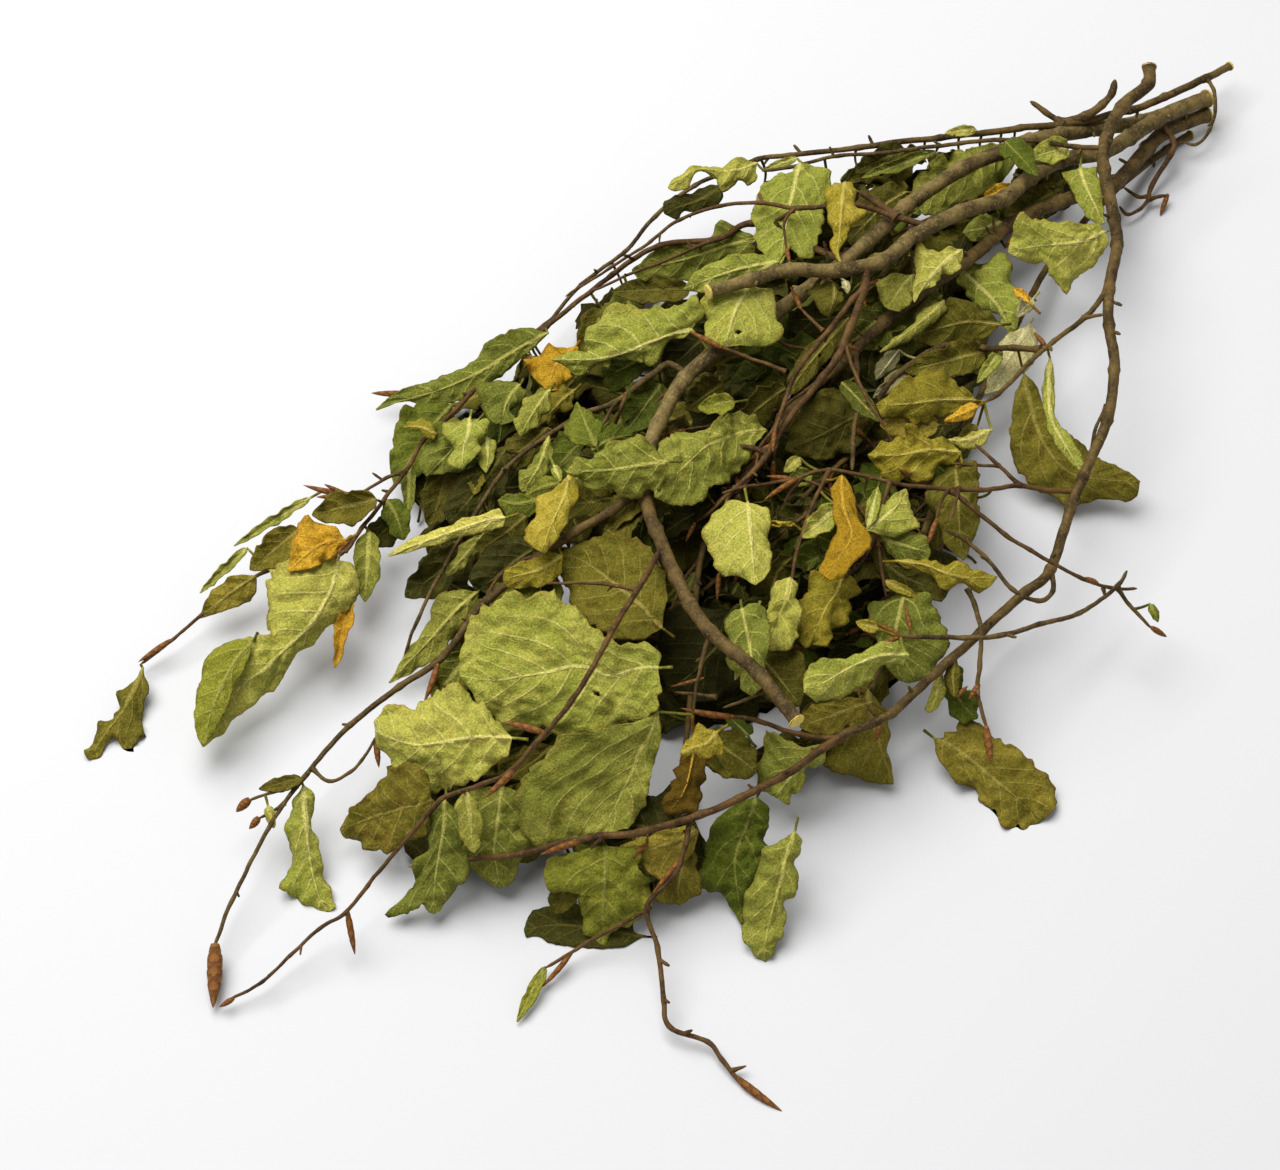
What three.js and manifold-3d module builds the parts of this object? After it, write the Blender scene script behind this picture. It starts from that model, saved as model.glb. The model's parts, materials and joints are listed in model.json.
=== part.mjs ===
// A bundle of dried twigs: an untied bunch of cut beech twigs that lies on a table with its dried
// leaves on it. Millimetres, +Z up. +X runs along the bunch to the cut ends, and z = 0 is the table.
//
// Every place below is [across, down, height]. Across and down are pixels of the photograph of the
// bunch, and height is how high the place stands over the table, in mm. Thicknesses, widths and
// bends are real sizes in mm and degrees.
import * as THREE from "three";
import { mergeVertices } from "three/addons/utils/BufferGeometryUtils.js";
import Module from "manifold-3d";

const wasm = await Module();
wasm.setup();

// Where the bunch was seen from
const pictureCentre = [640, 585];
const focalLength = 3333;
const viewDistance = 1200;
const viewTurn = THREE.MathUtils.degToRad(-48);
const viewLift = THREE.MathUtils.degToRad(55);
const viewedPoint = new THREE.Vector3(-81, 5, 40);

// Sizes that every piece shares
const leafThickness = 0.8;
const stalkThickness = 1.3;
const gap = 0.45;
const longestStalk = 45;
const tableSize = 2000;
const smoothing = 0.08;
const mergeDistance = 1e-4;
const evenBend = [15, 15];

// Where a leaf's grid has its rows, from the base to the tip, and its columns, from margin to margin
const largeDetail = { rows: [0.16, 0.42, 0.72, 1], columns: [-1, -0.5, 0, 0.5, 1] };
const middleDetail = { rows: [0.16, 0.42, 0.72, 1], columns: [-1, 0, 1] };
const smallDetail = { rows: [0.38, 1], columns: [-1, 0, 1] };
const largeWidth = 24;

const towardsViewer = new THREE.Vector3(
  Math.sin(viewTurn) * Math.cos(viewLift),
  -Math.cos(viewTurn) * Math.cos(viewLift),
  Math.sin(viewLift),
);
const pictureRight = new THREE.Vector3(Math.cos(viewTurn), Math.sin(viewTurn), 0);
const pictureUp = new THREE.Vector3().crossVectors(towardsViewer, pictureRight);
const skyward = new THREE.Vector3(0, 0, 1);

// The point in space that the photograph shows at a place
function spot([across, down, height]) {
  const eye = viewedPoint.clone().addScaledVector(towardsViewer, viewDistance);
  const ray = towardsViewer.clone().multiplyScalar(-focalLength);
  ray.addScaledVector(pictureRight, across - pictureCentre[0]);
  ray.addScaledVector(pictureUp, pictureCentre[1] - down);
  return eye.addScaledVector(ray, (height - eye.z) / ray.z);
}

// Bark and leaf colours
const barkGrey = 0x5f5544;
const barkRed = 0x55392a;
const barkDark = 0x43382b;
const leafPale = 0xa0a55a;
const leafGreen = 0x7d8746;
const leafOlive = 0x6e732d;
const leafDark = 0x4b5523;
const leafGold = 0xaf8723;

// The twigs. Each has its route from the cut end or fork to the tip, its thickness from end to
// end, its side shoots and its buds. A bud is a spindle from its foot to its point.
const twigs = [
  {
    name: "thick_branch",
    colour: barkGrey,
    sides: 6,
    thickness: [6.4, 6.3, 6.2, 6.0, 5.6, 5.2, 4.8],
    route: [
      [1207, 98, 13], [1155, 120, 20], [1130, 137, 24], [1102, 152, 28], [1060, 160, 32],
      [1030, 178, 38],
      [1005, 198, 43], [960, 213, 51], [915, 235, 58], [880, 262, 64], [840, 270, 68], [790, 270, 71],
      [750, 280, 73], [708, 292, 74],
    ],
  },
  {
    name: "thick_branch_side_twig",
    colour: barkRed,
    sides: 4,
    thickness: [3.2, 2.2, 1.7, 1.4, 1.1],
    route: [
      [930, 226, 56], [895, 217, 57], [858, 205, 58], [800, 208, 57], [760, 203, 56], [720, 206, 53],
      [680, 220, 47], [650, 242, 41], [610, 268, 33], [565, 297, 26],
    ],
    shoots: [
      { thickness: [2.8, 2.4], sides: 4, route: [[897, 218, 57], [880, 205, 58], [858, 192, 59]] },
      { thickness: [1.2, 0.9], sides: 3, route: [[795, 207, 57], [784, 222, 56], [786, 250, 55]] },
    ],
    buds: [{ thickness: 1.9, from: [786, 247, 55], to: [790, 264, 55] }],
  },
  {
    name: "red_forked_twig",
    colour: barkRed,
    sides: 4,
    thickness: [3.2, 3.0, 2.6, 2.2, 1.6],
    route: [
      [866, 268, 66], [864, 290, 63], [850, 328, 61], [838, 358, 59], [822, 378, 57], [788, 420, 54],
      [765, 458, 51], [728, 495, 48], [715, 505, 46],
    ],
    shoots: [
      {
        thickness: [2.4, 2.0, 1.4], sides: 3,
        route: [
          [864, 290, 63], [852, 300, 63], [830, 330, 62], [800, 365, 60], [785, 400, 58],
          [775, 432, 57],
        ],
      },
      { thickness: [1.5, 1.1], sides: 3, route: [[845, 342, 60], [862, 390, 56], [885, 428, 52]] },
    ],
    buds: [{ thickness: 2.0, from: [775, 430, 57], to: [773, 452, 56] }],
  },
  {
    name: "grey_branch",
    colour: barkGrey,
    sides: 6,
    thickness: [6.2, 6.0, 5.8, 5.6, 5.4],
    route: [
      [1182, 110, 2.8], [1140, 122, 12], [1100, 128, 20], [1060, 134, 27], [1030, 141, 32],
      [1000, 152, 36],
      [960, 170, 41], [905, 207, 47], [865, 245, 52], [800, 295, 55], [760, 322, 57], [725, 345, 58],
      [685, 378, 58], [658, 425, 58], [648, 458, 56], [641, 494, 54],
    ],
  },
  {
    name: "grey_branch_cut_fork",
    colour: barkDark,
    sides: 6,
    thickness: [5.0, 4.8, 4.8, 4.9],
    route: [
      [642, 490, 54], [655, 530, 60], [675, 575, 66], [690, 605, 68], [710, 632, 70], [735, 652, 71],
      [760, 675, 71], [797, 722, 71],
    ],
    shoots: [
      { thickness: [1.6, 1.0], sides: 3, route: [[710, 633, 70], [702, 662, 64], [692, 715, 54]] },
    ],
  },
  {
    name: "long_left_twig",
    colour: barkDark,
    sides: 4,
    thickness: [3.6, 3.2, 2.8, 2.2, 1.6, 1.4],
    route: [
      [644, 486, 54], [610, 512, 54], [575, 532, 53], [530, 565, 49], [490, 597, 44], [470, 620, 41],
      [445, 655, 38], [400, 687, 33], [350, 725, 29], [305, 775, 24], [270, 825, 19], [232, 900, 12],
      [215, 946, 8],
    ],
    shoots: [
      {
        thickness: [1.4, 1.0], sides: 3,
        route: [[312, 768, 25], [330, 781, 24], [350, 772, 22], [362, 760, 21], [376, 737, 20]],
      },
      { thickness: [1.4, 1.0], sides: 3, route: [[298, 784, 23], [272, 792, 22], [248, 800, 21]] },
      { thickness: [1.2, 1.0], sides: 3, route: [[285, 802, 21], [270, 812, 20], [258, 818, 19]] },
    ],
    buds: [
      { thickness: 6.0, from: [215, 944, 8], to: [213, 1008, 4] },
      { thickness: 2.6, from: [376, 738, 20], to: [379, 768, 16] },
      { thickness: 2.8, from: [438, 664, 37], to: [424, 702, 33] },
      { thickness: 3.6, from: [250, 799, 21], to: [236, 812, 19] },
      { thickness: 3.0, from: [259, 817, 19], to: [249, 829, 17] },
    ],
  },
  {
    name: "lower_left_twig",
    colour: barkRed,
    sides: 4,
    thickness: [2.6, 2.4, 2.2, 1.8, 1.5, 1.3],
    route: [
      [662, 546, 62], [645, 578, 70], [615, 625, 75], [605, 645, 76], [572, 700, 74], [535, 745, 66],
      [510, 772, 58], [480, 785, 52], [440, 800, 44], [410, 835, 36], [368, 885, 24], [345, 912, 18],
      [320, 928, 14], [290, 955, 10], [262, 982, 7], [228, 1000, 5],
    ],
    shoots: [
      { thickness: [1.5, 1.0], sides: 3, route: [[638, 590, 71], [600, 583, 70], [545, 583, 66]] },
    ],
    buds: [
      { thickness: 2.8, from: [545, 733, 68], to: [503, 722, 66] },
      { thickness: 2.8, from: [516, 768, 59], to: [484, 798, 54] },
      { thickness: 2.6, from: [347, 910, 18], to: [355, 955, 8] },
    ],
  },
  {
    name: "grey_branch_left_shoot",
    colour: barkDark,
    sides: 4,
    thickness: [2.6, 2.2, 1.8, 1.5, 1.2],
    route: [
      [688, 374, 58], [668, 364, 58], [650, 376, 56], [615, 402, 50], [580, 415, 46], [545, 437, 42],
      [505, 470, 38], [475, 515, 35], [445, 565, 31], [418, 620, 26], [405, 655, 22],
    ],
    shoots: [
      { thickness: [1.4, 1.0], sides: 3, route: [[615, 402, 50], [606, 420, 49], [590, 440, 48]] },
    ],
  },
  {
    name: "far_left_twig",
    colour: barkRed,
    sides: 4,
    thickness: [3.0, 2.4, 2.0, 1.8, 1.6, 1.4, 1.1],
    route: [
      [846, 262, 51], [800, 243, 44], [752, 224, 41], [715, 240, 39], [660, 245, 36], [612, 275, 29],
      [545, 328, 24], [500, 365, 22], [460, 405, 24], [423, 440, 26], [405, 472, 27], [362, 527, 26],
      [340, 555, 24], [265, 572, 18], [205, 612, 12], [172, 640, 9], [141, 664, 6],
    ],
    shoots: [
      { thickness: [1.4, 1.1], sides: 3, route: [[405, 472, 27], [385, 478, 28], [357, 496, 28]] },
      { thickness: [1.6, 1.0], sides: 3, route: [[715, 240, 39], [660, 262, 37], [590, 292, 31]] },
    ],
    buds: [
      { thickness: 2.8, from: [358, 496, 28], to: [303, 485, 30] },
      { thickness: 3.0, from: [352, 536, 25], to: [324, 568, 22] },
      { thickness: 2.6, from: [171, 640, 9], to: [138, 662, 7] },
    ],
  },
  {
    name: "dark_branch",
    colour: barkDark,
    sides: 6,
    thickness: [6.2, 6.0, 5.6, 5.2, 4.6, 3.6, 2.6, 2.2, 1.8],
    route: [
      [1206, 115, 7], [1165, 132, 11], [1147, 148, 13], [1115, 183, 20], [1060, 202, 27],
      [1010, 225, 32],
      [965, 262, 36], [925, 290, 39], [885, 322, 41], [845, 360, 42], [795, 405, 41], [765, 455, 38],
      [725, 500, 34], [704, 545, 31], [694, 620, 26], [688, 720, 20], [682, 798, 15],
    ],
    buds: [{ thickness: 3.0, from: [683, 790, 15], to: [672, 812, 12] }],
  },
  {
    name: "edge_twig",
    colour: barkDark,
    sides: 4,
    thickness: [3.2, 3.2, 2.8, 2.2, 1.8, 1.6, 1.5, 1.3],
    route: [
      [1230, 66, 14], [1205, 78, 16], [1165, 97, 19], [1130, 110, 23], [1085, 121, 27], [1020, 128, 32],
      [940, 138, 37], [860, 147, 38], [790, 156, 38], [757, 160, 37], [695, 185, 33], [655, 217, 29],
      [625, 252, 24], [580, 285, 20], [545, 325, 17], [500, 350, 15], [450, 378, 13], [410, 394, 11],
    ],
    shoots: [
      {
        thickness: [3.4, 2.8, 3.2], sides: 4,
        route: [[1080, 122, 27], [1095, 108, 31], [1108, 95, 34], [1115, 80, 36]],
      },
      { thickness: [2.4, 2.2], sides: 4, route: [[1062, 123, 29], [1045, 112, 32], [1030, 102, 34]] },
      {
        thickness: [1.6, 1.4, 1.2], sides: 3,
        route: [
          [1207, 78, 16], [1214, 90, 18], [1215, 108, 16], [1209, 131, 10], [1196, 145, 7],
          [1183, 142, 8],
        ],
      },
    ],
    buds: [{ thickness: 2.8, from: [411, 394, 11], to: [371, 393, 10] }],
  },
  {
    name: "bow_twig",
    colour: barkGrey,
    sides: 5,
    thickness: [5.0, 5.0, 4.8, 4.2, 4.0, 3.8, 3.4, 3.2],
    route: [
      [1149, 66, 48], [1147, 84, 46], [1122, 107, 43], [1106, 140, 40], [1104, 170, 39],
      [1114, 218, 40],
      [1117, 245, 41], [1109, 290, 42], [1109, 325, 42], [1115, 370, 41], [1107, 420, 38],
      [1083, 477, 34],
      [1070, 510, 32], [1051, 568, 30], [1025, 592, 30], [982, 632, 33], [938, 670, 35], [892, 713, 37],
      [838, 737, 37],
    ],
    shoots: [
      {
        thickness: [2.2, 1.8, 1.5], sides: 3,
        route: [
          [1107, 292, 42], [1085, 318, 44], [1055, 342, 46], [1030, 362, 47], [1000, 392, 47],
          [985, 402, 46],
        ],
      },
      { thickness: [1.5, 1.3], sides: 3, route: [[1083, 319, 44], [1104, 315, 48]] },
      {
        thickness: [2.4, 2.2, 2.0], sides: 3,
        route: [
          [1042, 350, 46], [1015, 348, 42], [990, 349, 39], [945, 345, 37], [900, 372, 36],
          [878, 398, 35],
        ],
      },
      { thickness: [1.5, 1.1], sides: 3, route: [[1107, 405, 39], [1095, 430, 34], [1090, 452, 30]] },
      {
        thickness: [1.8, 1.8, 1.6, 1.4], sides: 3,
        route: [
          [952, 657, 34], [943, 645, 38], [960, 639, 40], [1000, 636, 41], [1040, 625, 41],
          [1080, 613, 39],
          [1117, 587, 35], [1128, 571, 35],
        ],
      },
      { thickness: [1.6, 1.2], sides: 3, route: [[1117, 587, 35], [1130, 605, 30], [1152, 628, 24]] },
      {
        thickness: [1.6, 1.8, 1.6, 1.4], sides: 3,
        route: [
          [968, 588, 45], [975, 605, 43], [981, 632, 41], [980, 665, 36], [978, 690, 30],
          [987, 728, 23],
        ],
      },
      {
        thickness: [1.8, 1.6, 1.4], sides: 3,
        route: [
          [1051, 570, 30], [1053, 590, 28], [1038, 601, 28], [1012, 588, 33], [985, 558, 38],
          [965, 540, 41],
          [945, 530, 43],
        ],
      },
    ],
    buds: [
      { thickness: 2.4, from: [1151, 627, 24], to: [1167, 637, 20] },
      { thickness: 3.4, from: [986, 726, 23], to: [992, 764, 18] },
      { thickness: 2.6, from: [979, 684, 31], to: [969, 699, 29] },
    ],
  },
  {
    name: "second_edge_twig",
    colour: barkDark,
    sides: 4,
    thickness: [2.2, 1.8, 1.6, 1.3],
    route: [
      [1105, 148, 40], [1075, 146, 41], [1035, 141, 42], [1000, 140, 43], [960, 143, 44],
      [890, 152, 45],
      [840, 155, 45], [790, 167, 45], [762, 171, 44],
    ],
  },
  {
    name: "bow_twig_front_fork",
    colour: barkRed,
    sides: 4,
    thickness: [3.0, 2.8, 2.6, 2.4, 2.0],
    route: [
      [841, 736, 37], [820, 750, 37], [780, 777, 37], [740, 798, 37], [700, 815, 36], [640, 832, 34],
      [600, 836, 31], [560, 844, 27], [520, 853, 23], [466, 860, 18],
    ],
    shoots: [
      {
        thickness: [2.0, 1.5], sides: 4,
        route: [[838, 739, 37], [800, 735, 38], [760, 722, 40], [732, 716, 41]],
      },
      { thickness: [1.4, 1.2], sides: 3, route: [[604, 836, 31], [590, 850, 30]] },
    ],
    buds: [
      { thickness: 2.6, from: [735, 717, 41], to: [680, 708, 43] },
      { thickness: 2.8, from: [582, 841, 29], to: [540, 855, 27] },
      { thickness: 2.8, from: [468, 860, 18], to: [407, 867, 13] },
    ],
  },
  {
    name: "bow_twig_right_shoots",
    colour: barkRed,
    sides: 4,
    thickness: [2.0, 1.8, 1.6, 1.4, 1.2],
    route: [
      [1075, 491, 33], [1050, 490, 36], [1020, 486, 40], [980, 490, 46], [930, 488, 51], [890, 483, 54],
      [830, 470, 57], [790, 480, 58], [745, 487, 58], [722, 493, 57],
    ],
    shoots: [
      {
        thickness: [1.6, 1.2], sides: 3,
        route: [[1020, 486, 40], [995, 462, 44], [975, 443, 46]],
      },
      { thickness: [1.2, 1.0], sides: 3, route: [[1000, 466, 43], [975, 465, 44], [953, 463, 45]] },
      {
        thickness: [1.6, 1.4, 1.2], sides: 3,
        route: [[830, 470, 57], [812, 505, 56], [798, 550, 54], [788, 608, 50]],
      },
      {
        thickness: [1.6, 1.4, 1.2], sides: 3,
        route: [[890, 483, 54], [878, 525, 52], [880, 565, 47], [886, 596, 43]],
      },
      { thickness: [1.4, 1.2], sides: 3, route: [[878, 532, 51], [862, 560, 49], [843, 580, 46]] },
      {
        thickness: [1.8, 1.5, 1.2], sides: 3,
        route: [
          [950, 490, 49], [965, 502, 48], [1005, 535, 44], [1030, 550, 42], [1080, 578, 37],
          [1112, 588, 33],
          [1137, 589, 30],
        ],
      },
    ],
    buds: [
      { thickness: 2.4, from: [800, 477, 58], to: [764, 500, 58] },
      { thickness: 2.4, from: [1098, 584, 35], to: [1085, 577, 38] },
    ],
  },
  {
    name: "front_tip_twig",
    colour: barkRed,
    sides: 4,
    thickness: [2.0, 1.8, 1.8, 1.6],
    route: [
      [690, 819, 34], [686, 842, 30], [675, 875, 25], [647, 908, 19], [657, 950, 14], [664, 1000, 9],
      [670, 1028, 6], [708, 1042, 4.4], [722, 1060, 3.6], [739, 1080, 2.2],
    ],
    shoots: [
      { thickness: [1.3, 1.2], sides: 3, route: [[731, 1071, 2.9], [747, 1066, 4]] },
      {
        thickness: [1.4, 1.2], sides: 3,
        route: [[648, 910, 19], [600, 935, 10], [578, 948, 7], [545, 968, 4]],
      },
    ],
    buds: [
      { thickness: 3.2, from: [736, 1077, 1.7], to: [782, 1111, 0.3] },
      { thickness: 3.4, from: [683, 856, 28], to: [650, 898, 22] },
      { thickness: 2.2, from: [572, 952, 6], to: [541, 988, 3] },
    ],
  },
  {
    name: "curved_butt_shoot",
    colour: barkRed,
    sides: 4,
    thickness: [2.6, 2.2, 1.8],
    route: [[1160, 122, 17], [1173, 141, 14], [1170, 155, 12], [1152, 185, 6], [1149, 201, 4]],
    shoots: [
      { thickness: [1.4, 1.4], sides: 3, route: [[1150, 196, 5], [1138, 197, 6], [1124, 188, 8]] },
      {
        thickness: [1.4, 1.4], sides: 3,
        route: [[1150, 198, 5], [1140, 209, 5], [1128, 214, 6], [1120, 206, 8]],
      },
      { thickness: [1.4, 1.3], sides: 3, route: [[1150, 199, 5], [1162, 196, 5], [1168, 195, 5]] },
    ],
    buds: [{ thickness: 2.4, from: [1168, 194, 5], to: [1160, 216, 0.4] }],
  },
  {
    name: "under_twig",
    colour: barkDark,
    sides: 4,
    thickness: [3.4, 3.0, 2.6, 2.4, 2.0, 1.6],
    route: [
      [1190, 135, 1.5], [1165, 150, 3], [1120, 186, 7], [1060, 250, 12], [1030, 300, 14],
      [985, 385, 17],
      [940, 490, 20], [900, 600, 20], [870, 690, 18], [800, 760, 15], [760, 790, 12],
    ],
    shoots: [
      {
        thickness: [2.2, 1.8, 1.4], sides: 4,
        route: [[960, 440, 19], [860, 450, 20], [740, 560, 19], [640, 640, 18], [560, 740, 16]],
      },
    ],
  },
];

// The larger leaves, from the base of the blade to the tip, with the blade's full width. Roll
// turns the blade about its midrib, and 0 faces the viewer. Fold and curl, left and right of the
// midrib with the tip up, bend each half up: fold at the midrib, curl spread out to the margin.
// Arch lifts the midrib near the base and the tip, as shares of the length, and sway moves it
// sideways. Crumple is the depth of its buckles.
const leaves = [
  {
    name: "big_pale_leaf", colour: leafPale, base: [660, 655, 66], tip: [462, 668, 60], width: 50,
    fold: [8, 8], curl: [-25, -30], arch: [0.08, 0.1], sway: 0.05, crumple: 1.5,
  },
  {
    name: "pale_leaf_beside_it", colour: leafPale, base: [505, 735, 55], tip: [372, 722, 36],
    width: 34, fold: [10, 5], curl: [-30, -50], arch: [0.05, 0.12], crumple: 1.5,
  },
  {
    name: "broad_leaf_below", colour: leafGreen, base: [657, 708, 54], tip: [590, 834, 27], width: 46,
    fold: [5, 20], curl: [-20, 20], arch: [0.02, 0.06], sway: -0.08,
  },
  {
    name: "olive_leaf_above", colour: leafOlive, base: [655, 640, 56], tip: [580, 547, 46], width: 31,
    fold: [5, 5], curl: [-20, -20],
  },
  {
    name: "bright_centre_leaf", colour: leafPale, base: [745, 504, 60], tip: [750, 583, 60],
    width: 24, fold: [10, 10], curl: [-20, -60], arch: [0, 0.15],
  },
  {
    name: "golden_leaf", colour: leafGold, base: [845, 480, 62], tip: [825, 578, 60], width: 14,
    fold: [20, 20], curl: [30, 30], arch: [0.1, -0.1], sway: -0.12,
  },
  {
    name: "torn_green_leaf", colour: leafPale, base: [703, 307, 64], tip: [555, 358, 44], width: 26,
    fold: [5, 0], curl: [-30, 20], arch: [0.05, 0.1], crumple: 1.5,
  },
  {
    name: "green_leaf_over_grey_branch", colour: leafGreen, base: [763, 428, 45], tip: [640, 495, 63],
    width: 30, fold: [0, 5], curl: [-20, -30], arch: [0.1, 0.1], crumple: 1.5,
  },
  {
    name: "green_leaf_left_of_grey_branch", colour: leafGreen, base: [690, 452, 73],
    tip: [583, 480, 64], width: 27, fold: [0, 5], curl: [-20, -40], arch: [0.08, 0.1],
  },
  {
    name: "round_upper_leaf", colour: leafPale, base: [798, 167, 50], tip: [780, 264, 50], width: 28,
    fold: [0, 0], curl: [-20, -20], arch: [0.03, 0.05], crumple: 0.8,
  },
  {
    name: "leaf_under_thick_branch_end", colour: leafPale, base: [752, 286, 67], tip: [728, 350, 64],
    width: 27, fold: [5, 5], curl: [-20, -20], crumple: 0.8,
  },
  {
    name: "leaf_by_bow_twig", colour: leafPale, base: [1098, 224, 38], tip: [1010, 250, 42],
    width: 28, fold: [0, 10], curl: [-20, -60], arch: [0.05, 0.1],
  },
  {
    name: "grey_green_top_leaf", colour: leafGreen, base: [1000, 150, 25], tip: [912, 202, 32],
    width: 20, fold: [5, 5], curl: [-20, -20],
  },
  {
    name: "dark_edge_leaf", colour: leafDark, base: [925, 158, 32], tip: [845, 183, 34], width: 17,
    fold: [20, 10], curl: [40, 30], arch: [0.05, -0.05], crumple: 1.5,
  },
  {
    name: "pale_brown_leaf", colour: leafOlive, base: [1000, 258, 26], tip: [1012, 337, 22],
    width: 19, fold: [20, 20], curl: [30, 30], arch: [0.1, 0.05], crumple: 1.5,
  },
  {
    name: "leaf_over_dark_branch", colour: leafPale, base: [962, 250, 48], tip: [912, 302, 49],
    width: 18, curl: [30, 20],
  },
  {
    name: "far_tip_leaf", colour: leafGreen, base: [757, 165, 43], tip: [668, 192, 44], width: 19,
    fold: [10, 20], curl: [40, 50], crumple: 2,
  },
  {
    name: "grey_leaf_at_far_edge", colour: leafGreen, base: [768, 232, 38], tip: [640, 268, 27],
    width: 19, fold: [0, 10], curl: [-20, -30],
  },
  {
    name: "pale_leaf_behind_branch_end", colour: leafPale, base: [780, 264, 53], tip: [675, 292, 54],
    width: 15, fold: [10, 5], curl: [-30, -20],
  },
  {
    name: "yellow_olive_leaf", colour: leafOlive, base: [985, 405, 50], tip: [880, 410, 55],
    width: 16, fold: [20, 10], curl: [40, -20], arch: [0.1, 0.1], crumple: 1.5,
  },
  {
    name: "crumpled_olive_leaf", colour: leafOlive, base: [958, 440, 47], tip: [876, 476, 47],
    width: 20, curl: [40, 20], arch: [0.1, 0.1], crumple: 2,
  },
  {
    name: "leaf_behind_bow_twig", colour: leafOlive, base: [1022, 388, 32], tip: [1138, 492, 16],
    width: 24, fold: [10, 10], curl: [30, 20], arch: [-0.05, 0.05], sway: -0.08, crumple: 1.5,
  },
  {
    name: "grey_olive_right_leaf", colour: leafOlive, base: [905, 590, 42], tip: [918, 680, 27],
    width: 21, fold: [10, 20], curl: [30, 30], crumple: 1.5,
  },
  {
    name: "pale_leaf_over_bow_fork", colour: leafPale, base: [905, 652, 48], tip: [808, 700, 52],
    width: 14, fold: [10, 20], curl: [40, 50], arch: [0.1, 0.1],
  },
  {
    name: "leaf_under_bow_fork", colour: leafDark, base: [850, 692, 26], tip: [888, 784, 6],
    width: 22, fold: [10, 10], curl: [-20, -20],
  },
  {
    name: "pale_leaf_under_front_fork", colour: leafPale, base: [815, 735, 30], tip: [776, 805, 14],
    width: 20, fold: [10, 5], curl: [-20, -20],
  },
  {
    name: "lone_right_leaf", colour: leafOlive, base: [948, 732, 15], tip: [1054, 824, 0], width: 24,
    fold: [10, 15], curl: [30, 20], arch: [0.05, 0.15], crumple: 1.5,
  },
  {
    name: "dark_left_leaf", colour: leafDark, base: [425, 792, 34], tip: [342, 832, 12], width: 23,
    fold: [10, 10], curl: [30, 30], crumple: 1.5,
  },
  {
    name: "yellow_green_front_leaf", colour: leafPale, base: [612, 846, 26], tip: [605, 946, 0],
    width: 32, fold: [10, 10], curl: [-30, -20], arch: [0.08, 0.05], crumple: 1.5,
  },
  {
    name: "pressed_front_leaf", colour: leafDark, flat: true, base: [640, 930, 0.4],
    tip: [527, 925, 0.4], width: 15, fold: [0, 0], curl: [0, 0], arch: [0, 0], crumple: 0,
  },
  {
    name: "brown_front_leaf", colour: leafDark, base: [502, 802, 36], tip: [502, 888, 5], width: 18,
    fold: [10, 10], curl: [20, 20], crumple: 1.5,
  },
  {
    name: "leaf_before_front_fork", colour: leafOlive, base: [690, 830, 27], tip: [620, 872, 12],
    width: 20, fold: [10, 20], curl: [20, 40],
  },
  {
    name: "dark_green_front_leaf", colour: leafDark, base: [755, 800, 28], tip: [722, 902, 2],
    width: 23, curl: [30, 30], crumple: 1.5,
  },
  {
    name: "hanging_front_leaf", colour: leafOlive, base: [794, 830, 28], tip: [768, 962, 0],
    width: 17, fold: [30, 20], curl: [40, 20],
  },
  {
    name: "s_curved_left_leaf", colour: leafPale, base: [345, 562, 34], tip: [203, 742, 10],
    width: 23, fold: [10, 15], curl: [30, 30], arch: [0.1, 0.05], sway: 0.08,
  },
  {
    name: "far_green_leaf", colour: leafGreen, base: [545, 336, 33], tip: [378, 405, 20], width: 19,
    fold: [5, 20], curl: [10, 30], arch: [0.06, 0.1],
  },
  {
    name: "orange_leaf", colour: leafGold, base: [575, 347, 31], tip: [547, 394, 32], width: 17,
    curl: [30, 30], crumple: 1.5,
  },
  {
    name: "grey_left_leaf", colour: leafGreen, base: [465, 605, 22], tip: [390, 682, 8], width: 17,
    fold: [5, 5], curl: [-20, -20],
  },
  {
    name: "tall_brown_leaf", colour: leafOlive, base: [574, 484, 59], tip: [535, 556, 60], width: 16,
    fold: [20, 20], curl: [30, 30], crumple: 1.5,
  },
  {
    name: "hanging_left_leaf", colour: leafPale, base: [303, 785, 21], tip: [328, 912, 0], width: 14,
    fold: [30, 30], curl: [20, 20],
  },
  {
    name: "leftmost_leaf", colour: leafOlive, base: [143, 668, 7], tip: [86, 758, 0], width: 15,
    fold: [20, 20], curl: [20, 20], arch: [0.03, 0.05],
  },
];

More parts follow.
